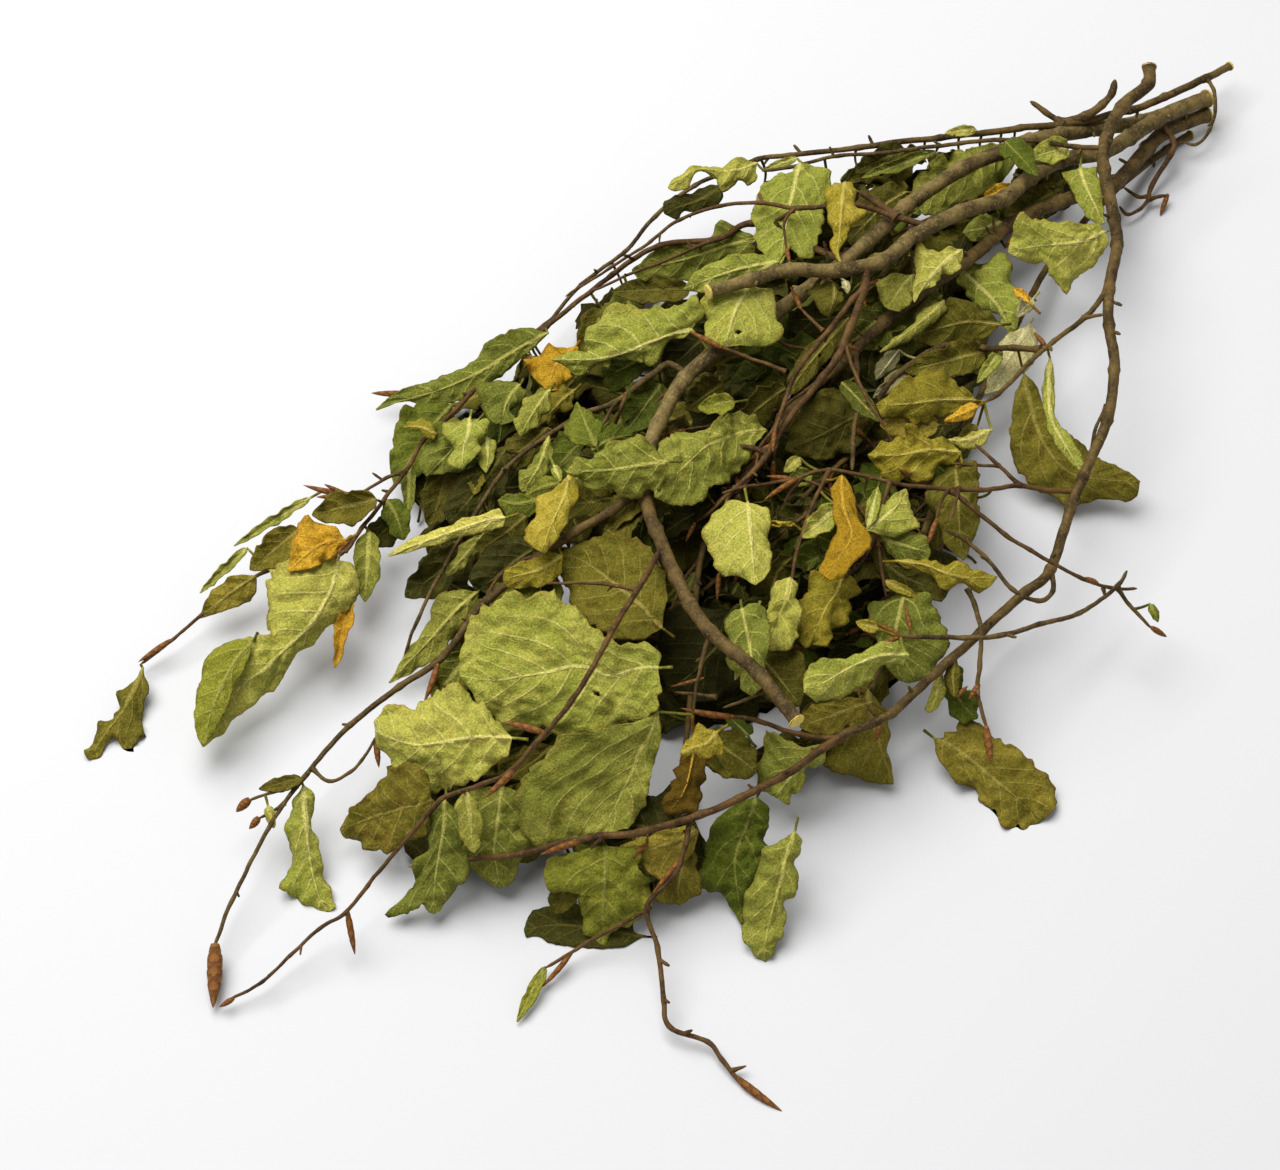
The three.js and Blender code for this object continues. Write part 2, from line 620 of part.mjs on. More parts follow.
// Small leaves, each fused to the twig that it grows from
const smallLeaves = [
  {
    name: "leaf_under_branch_fork", base: [1082, 168, 34], tip: [1096, 224, 33], width: 15,
    fold: [10, 10], curl: [20, 20], arch: [0, 0.05], crumple: 0.5,
  },
  {
    name: "pale_centre_leaf", base: [875, 540, 57], tip: [912, 488, 56], width: 16, fold: [10, 10],
    curl: [30, 30],
  },
  {
    name: "ribbed_left_leaf", base: [445, 420, 37], tip: [460, 472, 34], width: 17, fold: [10, 10],
    curl: [20, 20],
  },
  {
    name: "dark_far_leaf", base: [430, 400, 19], tip: [395, 476, 12], width: 15, fold: [10, 10],
    curl: [20, 20],
  },
  {
    name: "pointed_left_leaf", base: [500, 515, 46], tip: [388, 552, 36], width: 11, fold: [20, 10],
    curl: [20, 20], crumple: 0.8,
  },
  {
    name: "leaf_beside_s_curved", base: [322, 578, 28], tip: [268, 630, 16], width: 18,
    fold: [10, 10], curl: [20, 20],
  },
  {
    name: "curled_yellow_leaf", base: [850, 182, 60], tip: [843, 262, 58], width: 16, fold: [40, 40],
    curl: [70, 60], arch: [0.05, 0.1],
  },
  {
    name: "layered_leaf", base: [878, 545, 50], tip: [995, 582, 42], width: 14, fold: [20, 30],
    curl: [60, 30], crumple: 1.5,
  },
  {
    name: "dark_centre_leaf", base: [845, 575, 45], tip: [818, 648, 42], width: 18, fold: [20, 20],
    curl: [40, 40], arch: [0.05, 0.1], crumple: 1.5,
  },
  { name: "dark_tip_leaf", base: [262, 577, 20], tip: [200, 618, 10], width: 11 },
  { name: "brown_left_leaf", base: [365, 500, 33], tip: [290, 522, 27], width: 12 },
  {
    name: "golden_left_leaf", base: [345, 545, 40], tip: [290, 577, 38], width: 15, fold: [5, 5],
    curl: [10, 10],
  },
  {
    name: "orange_strip_leaf", base: [352, 590, 25], tip: [335, 668, 14], width: 8, fold: [40, 40],
  },
  { name: "yellow_scrap_leaf", base: [700, 722, 57], tip: [690, 757, 55], width: 13 },
  { name: "torn_front_leaf", base: [440, 820, 28], tip: [415, 908, 7], width: 17 },
  { name: "grey_front_leaf", base: [490, 792, 38], tip: [478, 864, 22], width: 20 },
  { name: "dark_left_inner_leaf", base: [470, 550, 24], tip: [405, 597, 16], width: 18 },
  { name: "olive_far_leaf", base: [520, 378, 29], tip: [495, 422, 29], width: 14 },
  { name: "olive_far_leaf_beside", base: [562, 392, 42], tip: [520, 438, 40], width: 14 },
  { name: "leaf_beside_cut_fork", base: [740, 612, 61], tip: [746, 692, 58], width: 13 },
  {
    name: "pale_strip_leaf", base: [1048, 365, 42], tip: [1092, 470, 28], width: 9, fold: [40, 40],
  },
  { name: "small_front_leaf", base: [545, 967, 4], tip: [517, 1022, 2], width: 5 },
];

// A closed tapering rod with a ring of corners at each of its points. Grown makes it fatter and
// longer all over.
function rod(points, thickness, sides, grown = 0) {
  const curve = new THREE.CatmullRomCurve3(points, false, "centripetal");
  const steps = points.length - 1;
  const last = thickness.length - 1;
  const rings = points.map((point, ring) => {
    const tangent = curve.getTangent(ring / steps);
    const along = (ring / steps) * last;
    const part = Math.min(Math.floor(along), last - 1);
    const overshoot = ring === 0 ? -grown : ring === steps ? grown : 0;
    return {
      centre: point.clone().addScaledVector(tangent, overshoot),
      tangent,
      radius: THREE.MathUtils.lerp(thickness[part], thickness[part + 1], along - part) / 2 + grown,
    };
  });
  let normal = squareTo(skyward.clone(), rings[0].tangent);
  for (const ring of rings) {
    normal = squareTo(normal.clone(), ring.tangent);
    ring.normal = normal;
    ring.binormal = new THREE.Vector3().crossVectors(ring.tangent, normal);
  }
  const shape = new THREE.CylinderGeometry(1, 1, steps, sides, steps, false);
  const corners = shape.getAttribute("position");
  for (let i = 0; i < corners.count; i += 1) {
    const ring = rings[Math.round(corners.getY(i) + steps / 2)];
    const place = ring.centre.clone();
    place.addScaledVector(ring.binormal, corners.getX(i) * ring.radius);
    place.addScaledVector(ring.normal, corners.getZ(i) * ring.radius);
    corners.setXYZ(i, place.x, place.y, place.z);
  }
  return solidFrom(shape);
}

// The part of a direction that is square to an axis, as a unit direction
function squareTo(direction, axis) {
  return direction.addScaledVector(axis, -direction.dot(axis)).normalize();
}

// A solid from a closed geometry, its shared corners merged and its collapsed faces dropped
function solidFrom(geometry) {
  geometry.deleteAttribute("normal");
  geometry.deleteAttribute("uv");
  const merged = mergeVertices(geometry, mergeDistance);
  const faces = [];
  const index = merged.index.array;
  for (let i = 0; i < index.length; i += 3) {
    const [a, b, c] = index.slice(i, i + 3);
    if (a !== b && b !== c && c !== a) faces.push(a, b, c);
  }
  return new wasm.Manifold(new wasm.Mesh({
    numProp: 3,
    vertProperties: merged.getAttribute("position").array,
    triVerts: Uint32Array.from(faces),
  }));
}

// A twig's rods: its own, its shoots' and its buds'
const budSides = 3;
const budRings = [0, 0.35, 0.75, 1];
const budShape = [0.5, 1, 0.7, 0];

function twigRods(twig, grown = 0) {
  const stems = [twig, ...(twig.shoots ?? [])];
  const rods = stems.map((stem) => rod(stem.route.map(spot), stem.thickness, stem.sides, grown));
  for (const bud of twig.buds ?? []) {
    const points = budRings.map((share) => spot(bud.from).lerp(spot(bud.to), share));
    rods.push(rod(points, budShape.map((share) => share * bud.thickness), budSides, grown));
  }
  return rods;
}

// The point on the twigs that is nearest to a place, where a leaf's stalk grows
const nodeSpacing = 2;
const nodePoints = twigs.flatMap((twig) => [twig, ...(twig.shoots ?? [])].flatMap((stem) => {
  const points = stem.route.map(spot);
  return points.slice(1).flatMap((point, i) => {
    const count = Math.ceil(point.distanceTo(points[i]) / nodeSpacing);
    return Array.from({ length: count }, (_, step) => (
      { point: points[i].clone().lerp(point, (step + 0.5) / count), twig: twig.name }
    ));
  });
}));

function nearestNode(place) {
  return nodePoints.reduce((best, node) => (
    node.point.distanceTo(place) < best.point.distanceTo(place) ? node : best
  ));
}

// A leaf's midrib from the base of the blade to the tip, the way that the blade faces, and the
// stalk from the nearest twig. Between the two, the leaf's cross-section turns halfway.
function leafFrame(leaf) {
  const base = spot(leaf.base);
  const tip = spot(leaf.tip);
  const forward = tip.clone().sub(base);
  const length = forward.length();
  forward.normalize();
  const facing = squareTo((leaf.flat ? skyward : towardsViewer).clone(), forward);
  facing.applyAxisAngle(forward, THREE.MathUtils.degToRad(leaf.roll ?? 0));
  const side = new THREE.Vector3().crossVectors(forward, facing);
  const knee = (share, lift) => base.clone().lerp(tip, share)
    .addScaledVector(facing, lift * length)
    .addScaledVector(side, (leaf.sway ?? 0) * length);
  const [nearLift, farLift] = leaf.arch ?? [0.05, 0.05];
  const midrib = new THREE.CubicBezierCurve3(base, knee(1 / 3, nearLift), knee(2 / 3, farLift), tip);
  const node = nearestNode(base);
  const stalk = base.clone().sub(node.point).normalize();
  const joint = midrib.getTangent(0).add(stalk).normalize();
  const jointUp = squareTo(facing.clone(), joint);
  const nodeUp = squareTo(jointUp.clone(), stalk);
  return { midrib, facing, base, node, stalk, joint, jointUp, nodeUp };
}

// A beech leaf's half width, as a share of its greatest, from the base to the tip
const baseRoundness = 0.55;
const tipRoundness = 0.8;
const widest = baseRoundness / (baseRoundness + tipRoundness);
const widestReach = widest ** baseRoundness * (1 - widest) ** tipRoundness;

function outline(along) {
  return (along ** baseRoundness * (1 - along) ** tipRoundness) / widestReach;
}

// A point of a blade's middle surface and its upward normal there. Buckles run across the blade in
// waves, given in radians over the blade's length and over half its width.
const buckleAlong = 7;
const buckleAcross = 2.2;
const leastCurl = 1e-3;

function bladePoint(leaf, frame, along, across) {
  const middle = frame.midrib.getPoint(along);
  const forward = frame.midrib.getTangent(along);
  const up = squareTo(frame.facing.clone(), forward);
  const side = new THREE.Vector3().crossVectors(forward, up);
  const hand = across < 0 ? 0 : 1;
  const sign = across < 0 ? -1 : 1;
  const reach = (leaf.width / 2) * outline(along) * Math.abs(across);
  const opening = Math.min(1, 2 * outline(along));
  const fold = THREE.MathUtils.degToRad((leaf.fold ?? evenBend)[hand]) * opening;
  const curl = THREE.MathUtils.degToRad((leaf.curl ?? evenBend)[hand]) * opening * Math.abs(across);
  const straight = Math.abs(curl) < leastCurl;
  const out = straight ? Math.cos(fold) : (Math.sin(fold + curl) - Math.sin(fold)) / curl;
  const rise = straight ? Math.sin(fold) : (Math.cos(fold) - Math.cos(fold + curl)) / curl;
  const normal = up.clone().multiplyScalar(Math.cos(fold + curl));
  normal.addScaledVector(side, -sign * Math.sin(fold + curl));
  const phase = buckleAlong * along + buckleAcross * across + leaf.width;
  const buckle = (leaf.crumple ?? 1) * Math.sin(phase) * Math.sin(Math.PI * along);
  const point = middle.addScaledVector(side, sign * reach * out).addScaledVector(up, reach * rise);
  return { point: point.addScaledVector(normal, buckle), normal };
}

// The leaf as a closed thin sheet: a grid of corners over its upper face and one under its lower
// face. The first row is the stalk's end on the twig, the second is the base of the blade.
function leafSheet(leaf, detail, grown = 0) {
  const frame = leafFrame(leaf);
  if (frame.node.point.distanceTo(frame.base) > longestStalk) {
    throw new Error(`${leaf.name} is far from every twig`);
  }
  const rows = detail.rows.length + 2;
  const columns = detail.columns.length;
  const layer = rows * columns;
  const thick = leafThickness / 2 + grown;
  const corners = new Float32Array(2 * layer * 3);
  const setRow = (row, at) => detail.columns.forEach((across, column) => {
    const { point, normal } = at(across * (1 + (2 * grown) / leaf.width));
    const corner = row * columns + column;
    point.clone().addScaledVector(normal, thick).toArray(corners, corner * 3);
    point.clone().addScaledVector(normal, -thick).toArray(corners, (layer + corner) * 3);
  });
  const foot = frame.node.point.clone().addScaledVector(frame.stalk, -grown);
  const jointSide = new THREE.Vector3().crossVectors(frame.joint, frame.jointUp);
  setRow(0, () => ({ point: foot, normal: frame.nodeUp }));
  setRow(1, (across) => {
    const reach = across * (stalkThickness / 2 + grown);
    return { point: frame.base.clone().addScaledVector(jointSide, reach), normal: frame.jointUp };
  });
  detail.rows.forEach((along, row) => {
    setRow(row + 2, (across) => bladePoint(leaf, frame, along, across));
  });

  const cells = new THREE.PlaneGeometry(1, 1, columns - 1, rows - 1).index.array;
  const faces = [];
  for (let i = 0; i < cells.length; i += 3) {
    const [a, b, c] = cells.slice(i, i + 3);
    faces.push(a, c, b, layer + a, layer + b, layer + c);
  }
  for (let row = 0; row + 1 < rows; row += 1) {
    const left = row * columns;
    const leftNext = left + columns;
    faces.push(left, leftNext, layer + left, leftNext, layer + leftNext, layer + left);
    const right = left + columns - 1;
    const rightNext = right + columns;
    faces.push(right, layer + right, rightNext, rightNext, layer + right, layer + rightNext);
  }
  const sheet = new THREE.BufferGeometry();
  sheet.setAttribute("position", new THREE.BufferAttribute(corners, 3));
  sheet.setIndex(faces);
  return solidFrom(sheet);
}

// Everything below the table's top is cut away, so what touches it lies flat
const tableBlock = new THREE.BoxGeometry(tableSize, tableSize, tableSize);
const table = solidFrom(tableBlock.translate(0, 0, -tableSize / 2));

// The largest single body of a solid that cuts have parted
function largestBody(solid) {
  const bodies = solid.decompose();
  return bodies.reduce((best, body) => (body.volume() > best.volume() ? body : best));
}

function overlapsBox(a, b) {
  return [0, 1, 2].every((axis) => a.min[axis] < b.max[axis] && b.min[axis] < a.max[axis]);
}

// Pieces are set one after another. Each gives way to those before it, with a gap.
const bundle = new THREE.Group();
const placed = [];

function place(name, colour, shape, guard) {
  const box = shape.boundingBox();
  const near = placed.filter((other) => overlapsBox(box, other.box));
  const cutters = wasm.Manifold.union([table, ...near.map((other) => other.guard)]);
  const cut = largestBody(shape.subtract(cutters)).simplify(smoothing);
  placed.push({ guard, box: guard.boundingBox() });
  const mesh = cut.getMesh();
  const geometry = new THREE.BufferGeometry();
  geometry.setAttribute("position", new THREE.BufferAttribute(mesh.vertProperties, 3));
  geometry.setIndex(new THREE.BufferAttribute(mesh.triVerts, 1));
  geometry.computeVertexNormals();
  const material = new THREE.MeshStandardMaterial({ color: colour, roughness: 0.85, metalness: 0 });
  const piece = new THREE.Mesh(geometry, material);
  piece.name = name;
  bundle.add(piece);
}

for (const twig of twigs) {
  const small = smallLeaves.filter((leaf) => leafFrame(leaf).node.twig === twig.name);
  const solidAndGuard = [0, gap].map((grown) => wasm.Manifold.union([
    ...twigRods(twig, grown),
    ...small.map((leaf) => leafSheet(leaf, smallDetail, grown)),
  ]));
  place(twig.name, twig.colour, ...solidAndGuard);
}

for (const leaf of leaves) {
  const detail = leaf.width < largeWidth ? middleDetail : largeDetail;
  place(leaf.name, leaf.colour, leafSheet(leaf, detail), leafSheet(leaf, detail, gap));
}

export default bundle;
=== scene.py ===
# %% [markdown]
# # A bundle of dried twigs
#
# The object is a loose bunch of cut beech twigs that lies on its side, with most of its dried leaves
# still on it. This lesson dresses the bunch: bark and buds on every twig, and a thin crumpled blade
# with veins in place of every plain leaf solid. The solids stay in the frame for collision, and each
# piece made here lies where its solid lies.

import json
import math
import random

import bpy
import numpy as np
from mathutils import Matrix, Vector, noise

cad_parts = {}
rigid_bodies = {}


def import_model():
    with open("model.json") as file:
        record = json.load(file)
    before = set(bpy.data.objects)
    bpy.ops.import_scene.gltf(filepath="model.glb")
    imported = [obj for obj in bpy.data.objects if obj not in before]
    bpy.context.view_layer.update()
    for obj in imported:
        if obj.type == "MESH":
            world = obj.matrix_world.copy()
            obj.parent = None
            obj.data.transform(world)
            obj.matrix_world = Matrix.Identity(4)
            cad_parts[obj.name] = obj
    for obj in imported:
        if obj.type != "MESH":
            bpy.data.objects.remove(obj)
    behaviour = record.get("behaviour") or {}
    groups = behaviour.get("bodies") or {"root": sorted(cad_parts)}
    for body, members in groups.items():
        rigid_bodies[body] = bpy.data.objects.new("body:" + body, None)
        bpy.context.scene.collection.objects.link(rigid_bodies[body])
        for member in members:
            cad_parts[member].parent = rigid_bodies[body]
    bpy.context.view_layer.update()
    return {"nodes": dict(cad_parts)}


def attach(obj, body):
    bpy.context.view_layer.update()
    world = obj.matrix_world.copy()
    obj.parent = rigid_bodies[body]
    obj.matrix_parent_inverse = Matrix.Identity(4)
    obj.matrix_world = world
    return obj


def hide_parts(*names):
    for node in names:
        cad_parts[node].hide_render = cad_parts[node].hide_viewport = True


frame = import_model()
MM = 0.001
print(f"{len(frame['nodes'])} solids")

# %% [markdown]
# ## Places
#
# A bunch of twigs has no straight edge to measure from, so each place is noted as it was seen: so
# many pixels across and down the photograph, and so many millimetres above the table. One sight
# line through the pixel, cut at that height, gives the point in space. The same camera renders the
# bunch, so a place in the picture and a place in the mesh stay one and the same thing.

# %% From a place in the photograph to a point in space
PHOTO_WIDTH = 1280
PHOTO_CENTRE = (640, 585)
FOCAL_LENGTH = 3333
VIEW_DISTANCE = 1.2
VIEW_TURN = math.radians(-48)
VIEW_LIFT = math.radians(55)
VIEWED_POINT = Vector((-0.081, 0.005, 0.040))

towards_viewer = Vector((
    math.sin(VIEW_TURN) * math.cos(VIEW_LIFT),
    -math.cos(VIEW_TURN) * math.cos(VIEW_LIFT),
    math.sin(VIEW_LIFT),
))
photo_right = Vector((math.cos(VIEW_TURN), math.sin(VIEW_TURN), 0))
photo_up = towards_viewer.cross(photo_right)
eye = VIEWED_POINT + towards_viewer * VIEW_DISTANCE


def spot(place):
    """The point in space for (pixels across, pixels down, millimetres above the table)."""
    across, down, height = place
    sight = (
        -towards_viewer * FOCAL_LENGTH
        + photo_right * (across - PHOTO_CENTRE[0])
        + photo_up * (PHOTO_CENTRE[1] - down)
    )
    return eye + sight * ((height * MM - eye.z) / sight.z)


def seen_at(point):
    """The pixels across and down at which a point in space is seen."""
    sight = Vector(point) - eye
    scale = -FOCAL_LENGTH / sight.dot(towards_viewer)
    return PHOTO_CENTRE[0] + scale * sight.dot(photo_right), PHOTO_CENTRE[1] - scale * sight.dot(photo_up)


print("the eye is at", tuple(round(x, 3) for x in eye))

# %% [markdown]
# ## The list of twigs
#
# On the real bunch a twig tapers slowly from its cut end to its last bud and bends a little at each
# old bud. A route of a few points with the thicknesses along it, in millimetres, says all of that.
# Side shoots and buds are listed under the twig that they grow on.

# %% The twigs, with their shoots and buds
TWIGS = []


def twig(name, bark, thickness, route):
    """Starts a twig of its own: its bark, its thicknesses from end to end, and its route."""
    TWIGS.append({"name": name, "bark": bark, "stems": [(thickness, route)], "buds": []})


def shoot(thickness, route):
    """Adds a side shoot to the last twig."""
    TWIGS[-1]["stems"].append((thickness, route))


def bud(thickness, foot, point):
    """Adds a bud to the last twig, from its foot to its point."""
    TWIGS[-1]["buds"].append((thickness, foot, point))


twig("thick_branch", "grey_bark", (6.4, 6.3, 6.2, 6, 5.6, 5.2, 4.8), [
    (1207, 98, 13), (1155, 120, 20), (1130, 137, 24), (1102, 152, 28), (1060, 160, 32),
    (1030, 178, 38), (1005, 198, 43), (960, 213, 51), (915, 235, 58), (880, 262, 64), (840, 270, 68),
    (790, 270, 71), (750, 280, 73), (708, 292, 74),
])
twig("thick_branch_side_twig", "red_brown_bark", (2.8, 2.0, 1.5, 1.3, 1.0), [
    (930, 226, 56), (895, 217, 57), (858, 205, 58), (800, 208, 57), (760, 203, 56), (720, 206, 53),
    (680, 220, 47), (650, 242, 41), (610, 268, 33), (565, 297, 26),
])
shoot((2.8, 2.4), [(897, 218, 57), (880, 205, 58), (858, 192, 59)])
shoot((1.2, 0.9), [(795, 207, 57), (784, 222, 56), (786, 250, 55)])
bud(1.9, (786, 247, 55), (790, 264, 55))
twig("red_forked_twig", "red_brown_bark", (3.2, 3, 2.6, 2.2, 1.6), [
    (866, 268, 66), (864, 290, 63), (850, 328, 61), (838, 358, 59), (822, 378, 57), (788, 420, 54),
    (765, 458, 51), (728, 495, 48), (715, 505, 46),
])
shoot((2.4, 2, 1.4), [
    (864, 290, 63), (852, 300, 63), (830, 330, 62), (800, 365, 60), (785, 400, 58), (775, 432, 57),
])
shoot((2.0, 1.4), [(768, 452, 51), (742, 446, 50), (715, 452, 47)])
shoot((1.5, 1.1), [(845, 342, 60), (862, 390, 56), (885, 428, 52)])
shoot((1.5, 1.2), [(786, 371, 61), (745, 356, 63), (720, 347, 65)])
shoot((1.2, 1.0), [(824, 331, 62), (810, 318, 62), (800, 308, 62)])
bud(2, (775, 430, 57), (773, 452, 56))
bud(2.4, (722, 348, 65), (689, 331, 66))
bud(2, (801, 309, 62), (790, 286, 62))
twig("grey_branch", "grey_bark", (6.2, 6, 5.8, 5.6, 5.4), [
    (1182, 110, 2.8), (1140, 122, 12), (1100, 128, 20), (1060, 134, 27), (1030, 141, 32),
    (1000, 152, 36), (960, 170, 41), (905, 207, 47), (865, 245, 52), (800, 295, 55), (760, 322, 57),
    (725, 345, 58), (685, 378, 58), (658, 425, 58), (648, 458, 56), (641, 494, 54),
])
twig("grey_branch_cut_fork", "dark_bark", (5, 4.8, 4.8, 4.9), [
    (642, 490, 54), (655, 530, 60), (675, 575, 66), (690, 605, 68), (710, 632, 70), (735, 652, 71),
    (760, 675, 71), (797, 722, 71),
])
shoot((1.6, 1), [(710, 633, 70), (702, 662, 64), (692, 715, 54)])
twig("long_left_twig", "dark_bark", (3.6, 3.2, 2.8, 2.2, 1.6, 1.4), [
    (644, 486, 54), (610, 512, 54), (575, 532, 53), (530, 565, 49), (490, 597, 44), (470, 620, 41),
    (445, 655, 38), (400, 687, 33), (350, 725, 29), (305, 775, 24), (270, 825, 19), (232, 900, 12),
    (215, 946, 8),
])
shoot((1.4, 1), [(312, 768, 25), (330, 781, 24), (350, 772, 22), (362, 760, 21), (376, 737, 20)])
shoot((1.4, 1), [(298, 784, 23), (272, 792, 22), (248, 800, 21)])
shoot((1.2, 1), [(285, 802, 21), (270, 812, 20), (258, 818, 19)])
bud(6, (215, 944, 8), (213, 1008, 4))
bud(2.6, (376, 738, 20), (379, 768, 16))
bud(2.8, (438, 664, 37), (424, 702, 33))
bud(3.6, (250, 799, 21), (236, 812, 19))
bud(3, (259, 817, 19), (249, 829, 17))
twig("lower_left_twig", "red_brown_bark", (2.1, 1.9, 1.8, 1.5, 1.3, 1.1), [
    (662, 546, 62), (645, 578, 70), (615, 625, 75), (605, 645, 76), (572, 700, 74), (535, 745, 66),
    (510, 772, 58), (480, 785, 52), (440, 800, 44), (410, 835, 36), (368, 885, 24), (345, 912, 18),
    (320, 928, 14), (290, 955, 10), (262, 982, 7), (228, 1000, 5),
])
shoot((1.5, 1), [(638, 590, 71), (600, 583, 70), (545, 583, 66)])
bud(2.8, (545, 733, 68), (503, 722, 66))
bud(2.8, (516, 768, 59), (484, 798, 54))
bud(2.6, (347, 910, 18), (355, 955, 8))
bud(2.2, (234, 998, 5), (219, 1007, 4))
twig("grey_branch_left_shoot", "dark_bark", (2.6, 2.2, 1.8, 1.5, 1.2), [
    (688, 374, 58), (668, 364, 58), (650, 376, 56), (615, 402, 50), (580, 415, 46), (545, 437, 42),
    (505, 470, 38), (475, 515, 35), (445, 565, 31), (418, 620, 26), (405, 655, 22),
])
shoot((1.4, 1), [(615, 402, 50), (606, 420, 49), (590, 440, 48)])
twig("far_left_twig", "red_brown_bark", (3, 2.4, 2, 1.8, 1.6, 1.4, 1.1), [
    (846, 262, 51), (800, 243, 44), (752, 224, 41), (715, 240, 39), (660, 245, 36), (612, 275, 29),
    (545, 328, 24), (500, 365, 22), (460, 405, 24), (423, 440, 26), (405, 472, 27), (362, 527, 26),
    (340, 555, 24), (265, 572, 18), (205, 612, 12), (172, 640, 9), (141, 664, 6),
])
shoot((1.4, 1.1), [(405, 472, 27), (385, 478, 28), (357, 496, 28)])
shoot((1.6, 1), [(715, 240, 39), (660, 262, 37), (590, 292, 31)])
bud(2.8, (358, 496, 28), (303, 485, 30))
bud(2.4, (350, 497, 28), (316, 497, 30))
bud(2, (346, 495, 29), (324, 484, 33))
bud(3, (352, 536, 25), (324, 568, 22))
bud(2.6, (171, 640, 9), (138, 662, 7))
twig("dark_branch", "dark_bark", (6.2, 6, 5.6, 5.2, 4.6, 3.6, 2.6, 2.2, 1.8), [
    (1206, 115, 7), (1165, 132, 11), (1147, 148, 13), (1115, 183, 20), (1060, 202, 27),
    (1010, 225, 32), (965, 262, 36), (925, 290, 39), (885, 322, 41), (845, 360, 42), (795, 405, 41),
    (765, 455, 38), (725, 500, 34), (704, 545, 31), (694, 620, 26), (688, 720, 20), (682, 798, 15),
])
shoot((1.4, 1.1), [(1000, 238, 34), (995, 228, 38), (994, 216, 41)])
shoot((1.3, 1.0), [(998, 240, 34), (991, 232, 37), (985, 226, 39)])
shoot((2.2, 1.8, 1.6), [(855, 350, 42), (858, 400, 44), (853, 440, 44), (852, 470, 43)])
shoot((1.2, 1.0), [(765, 691, 52), (745, 700, 50), (723, 708, 48)])
shoot((1.2, 1.0), [(716, 697, 48), (695, 694, 46), (674, 693, 44)])
bud(3, (683, 790, 15), (672, 812, 12))
bud(1.5, (704, 678, 47), (670, 687, 46))
twig("edge_twig", "dark_bark", (3.2, 3.2, 2.8, 2.2, 1.8, 1.6, 1.5, 1.3), [
    (1230, 66, 14), (1205, 78, 16), (1165, 97, 19), (1130, 110, 23), (1085, 121, 27), (1020, 128, 32),
    (940, 138, 37), (860, 147, 38), (790, 156, 38), (757, 160, 37), (695, 185, 33), (655, 217, 29),
    (625, 252, 24), (580, 285, 20), (545, 325, 17), (500, 350, 15), (450, 378, 13), (410, 394, 11),
])
shoot((4.4, 3.6, 2.8, 3.2), [(1060, 124, 26), (1085, 116, 29), (1102, 105, 32), (1112, 93, 34), (1115, 80, 36)])
shoot((2.4, 2.2), [(1062, 123, 29), (1045, 112, 32), (1030, 102, 34)])
shoot((1.6, 1.4, 1.2), [
    (1207, 78, 16), (1214, 90, 18), (1215, 108, 16), (1209, 131, 10), (1196, 145, 7), (1183, 142, 8),
])
bud(2.8, (411, 394, 11), (371, 393, 10))
twig("bow_twig", "dark_bark", (5, 5, 4.8, 4.2, 4, 3.8, 3.4, 3.2), [
    (1149, 66, 48), (1147, 84, 46), (1122, 107, 43), (1106, 140, 40), (1104, 170, 39), (1114, 218, 40),
    (1117, 245, 41), (1109, 290, 42), (1109, 325, 42), (1115, 370, 41), (1107, 420, 38),
    (1083, 477, 34), (1070, 510, 32), (1051, 568, 30), (1025, 592, 30), (982, 632, 33), (938, 670, 35),
    (892, 713, 37), (838, 737, 37),
])
shoot((2.2, 1.8, 1.5), [
    (1107, 292, 42), (1085, 318, 44), (1055, 342, 46), (1030, 362, 47), (1000, 392, 47),
    (985, 402, 46),
])
shoot((1.5, 1.3), [(1083, 319, 44), (1104, 315, 48)])
shoot((2.4, 2.2, 2), [
    (1042, 350, 46), (1015, 348, 42), (990, 349, 39), (945, 345, 37), (900, 372, 36), (878, 398, 35),
])
shoot((1.5, 1.1), [(1107, 405, 39), (1095, 430, 34), (1090, 452, 30)])
shoot((1.2, 1.6, 1.8, 1.8, 1.6, 1.4), [
    (897, 636, 43), (917, 636, 42), (945, 637, 41), (965, 638, 40), (1000, 636, 41), (1040, 625, 41), (1080, 613, 39),
    (1117, 587, 35), (1128, 571, 35),
])
shoot((1.6, 1.2), [(1117, 587, 35), (1130, 605, 30), (1152, 628, 24)])
shoot((1.6, 1.8, 1.6, 1.4), [
    (968, 588, 45), (975, 605, 43), (981, 632, 41), (980, 665, 36), (978, 690, 30), (987, 728, 23),
])
shoot((1.8, 1.6, 1.4), [
    (1051, 570, 30), (1053, 590, 28), (1038, 601, 28), (1012, 588, 33), (985, 558, 38), (965, 540, 41),
    (945, 530, 43),
])
bud(2.4, (1151, 627, 24), (1167, 637, 20))
bud(3.4, (986, 726, 23), (992, 764, 18))
bud(2.6, (979, 684, 31), (969, 699, 29))
bud(2.0, (901, 635, 43), (877, 623, 44))
bud(1.8, (901, 637, 43), (881, 643, 43))
bud(1.8, (911, 631, 42), (904, 604, 44))
bud(1.8, (957, 697, 28), (968, 686, 28))
bud(2.2, (1046, 346, 46), (1034, 332, 46))
twig("second_edge_twig", "dark_bark", (2.2, 1.8, 1.6, 1.3), [
    (1105, 148, 40), (1075, 146, 41), (1035, 141, 42), (1000, 140, 43), (960, 143, 44), (890, 152, 45),
    (840, 155, 45), (790, 167, 45), (762, 171, 44),
])
twig("bow_twig_front_fork", "red_brown_bark", (3, 2.8, 2.6, 2.4, 2), [
    (841, 736, 37), (820, 750, 37), (780, 777, 37), (740, 798, 37), (700, 815, 36), (640, 832, 34),
    (600, 836, 31), (560, 844, 27), (520, 853, 23), (466, 860, 18),
])
shoot((2, 1.5), [(838, 739, 37), (800, 735, 38), (760, 722, 40), (732, 716, 41)])
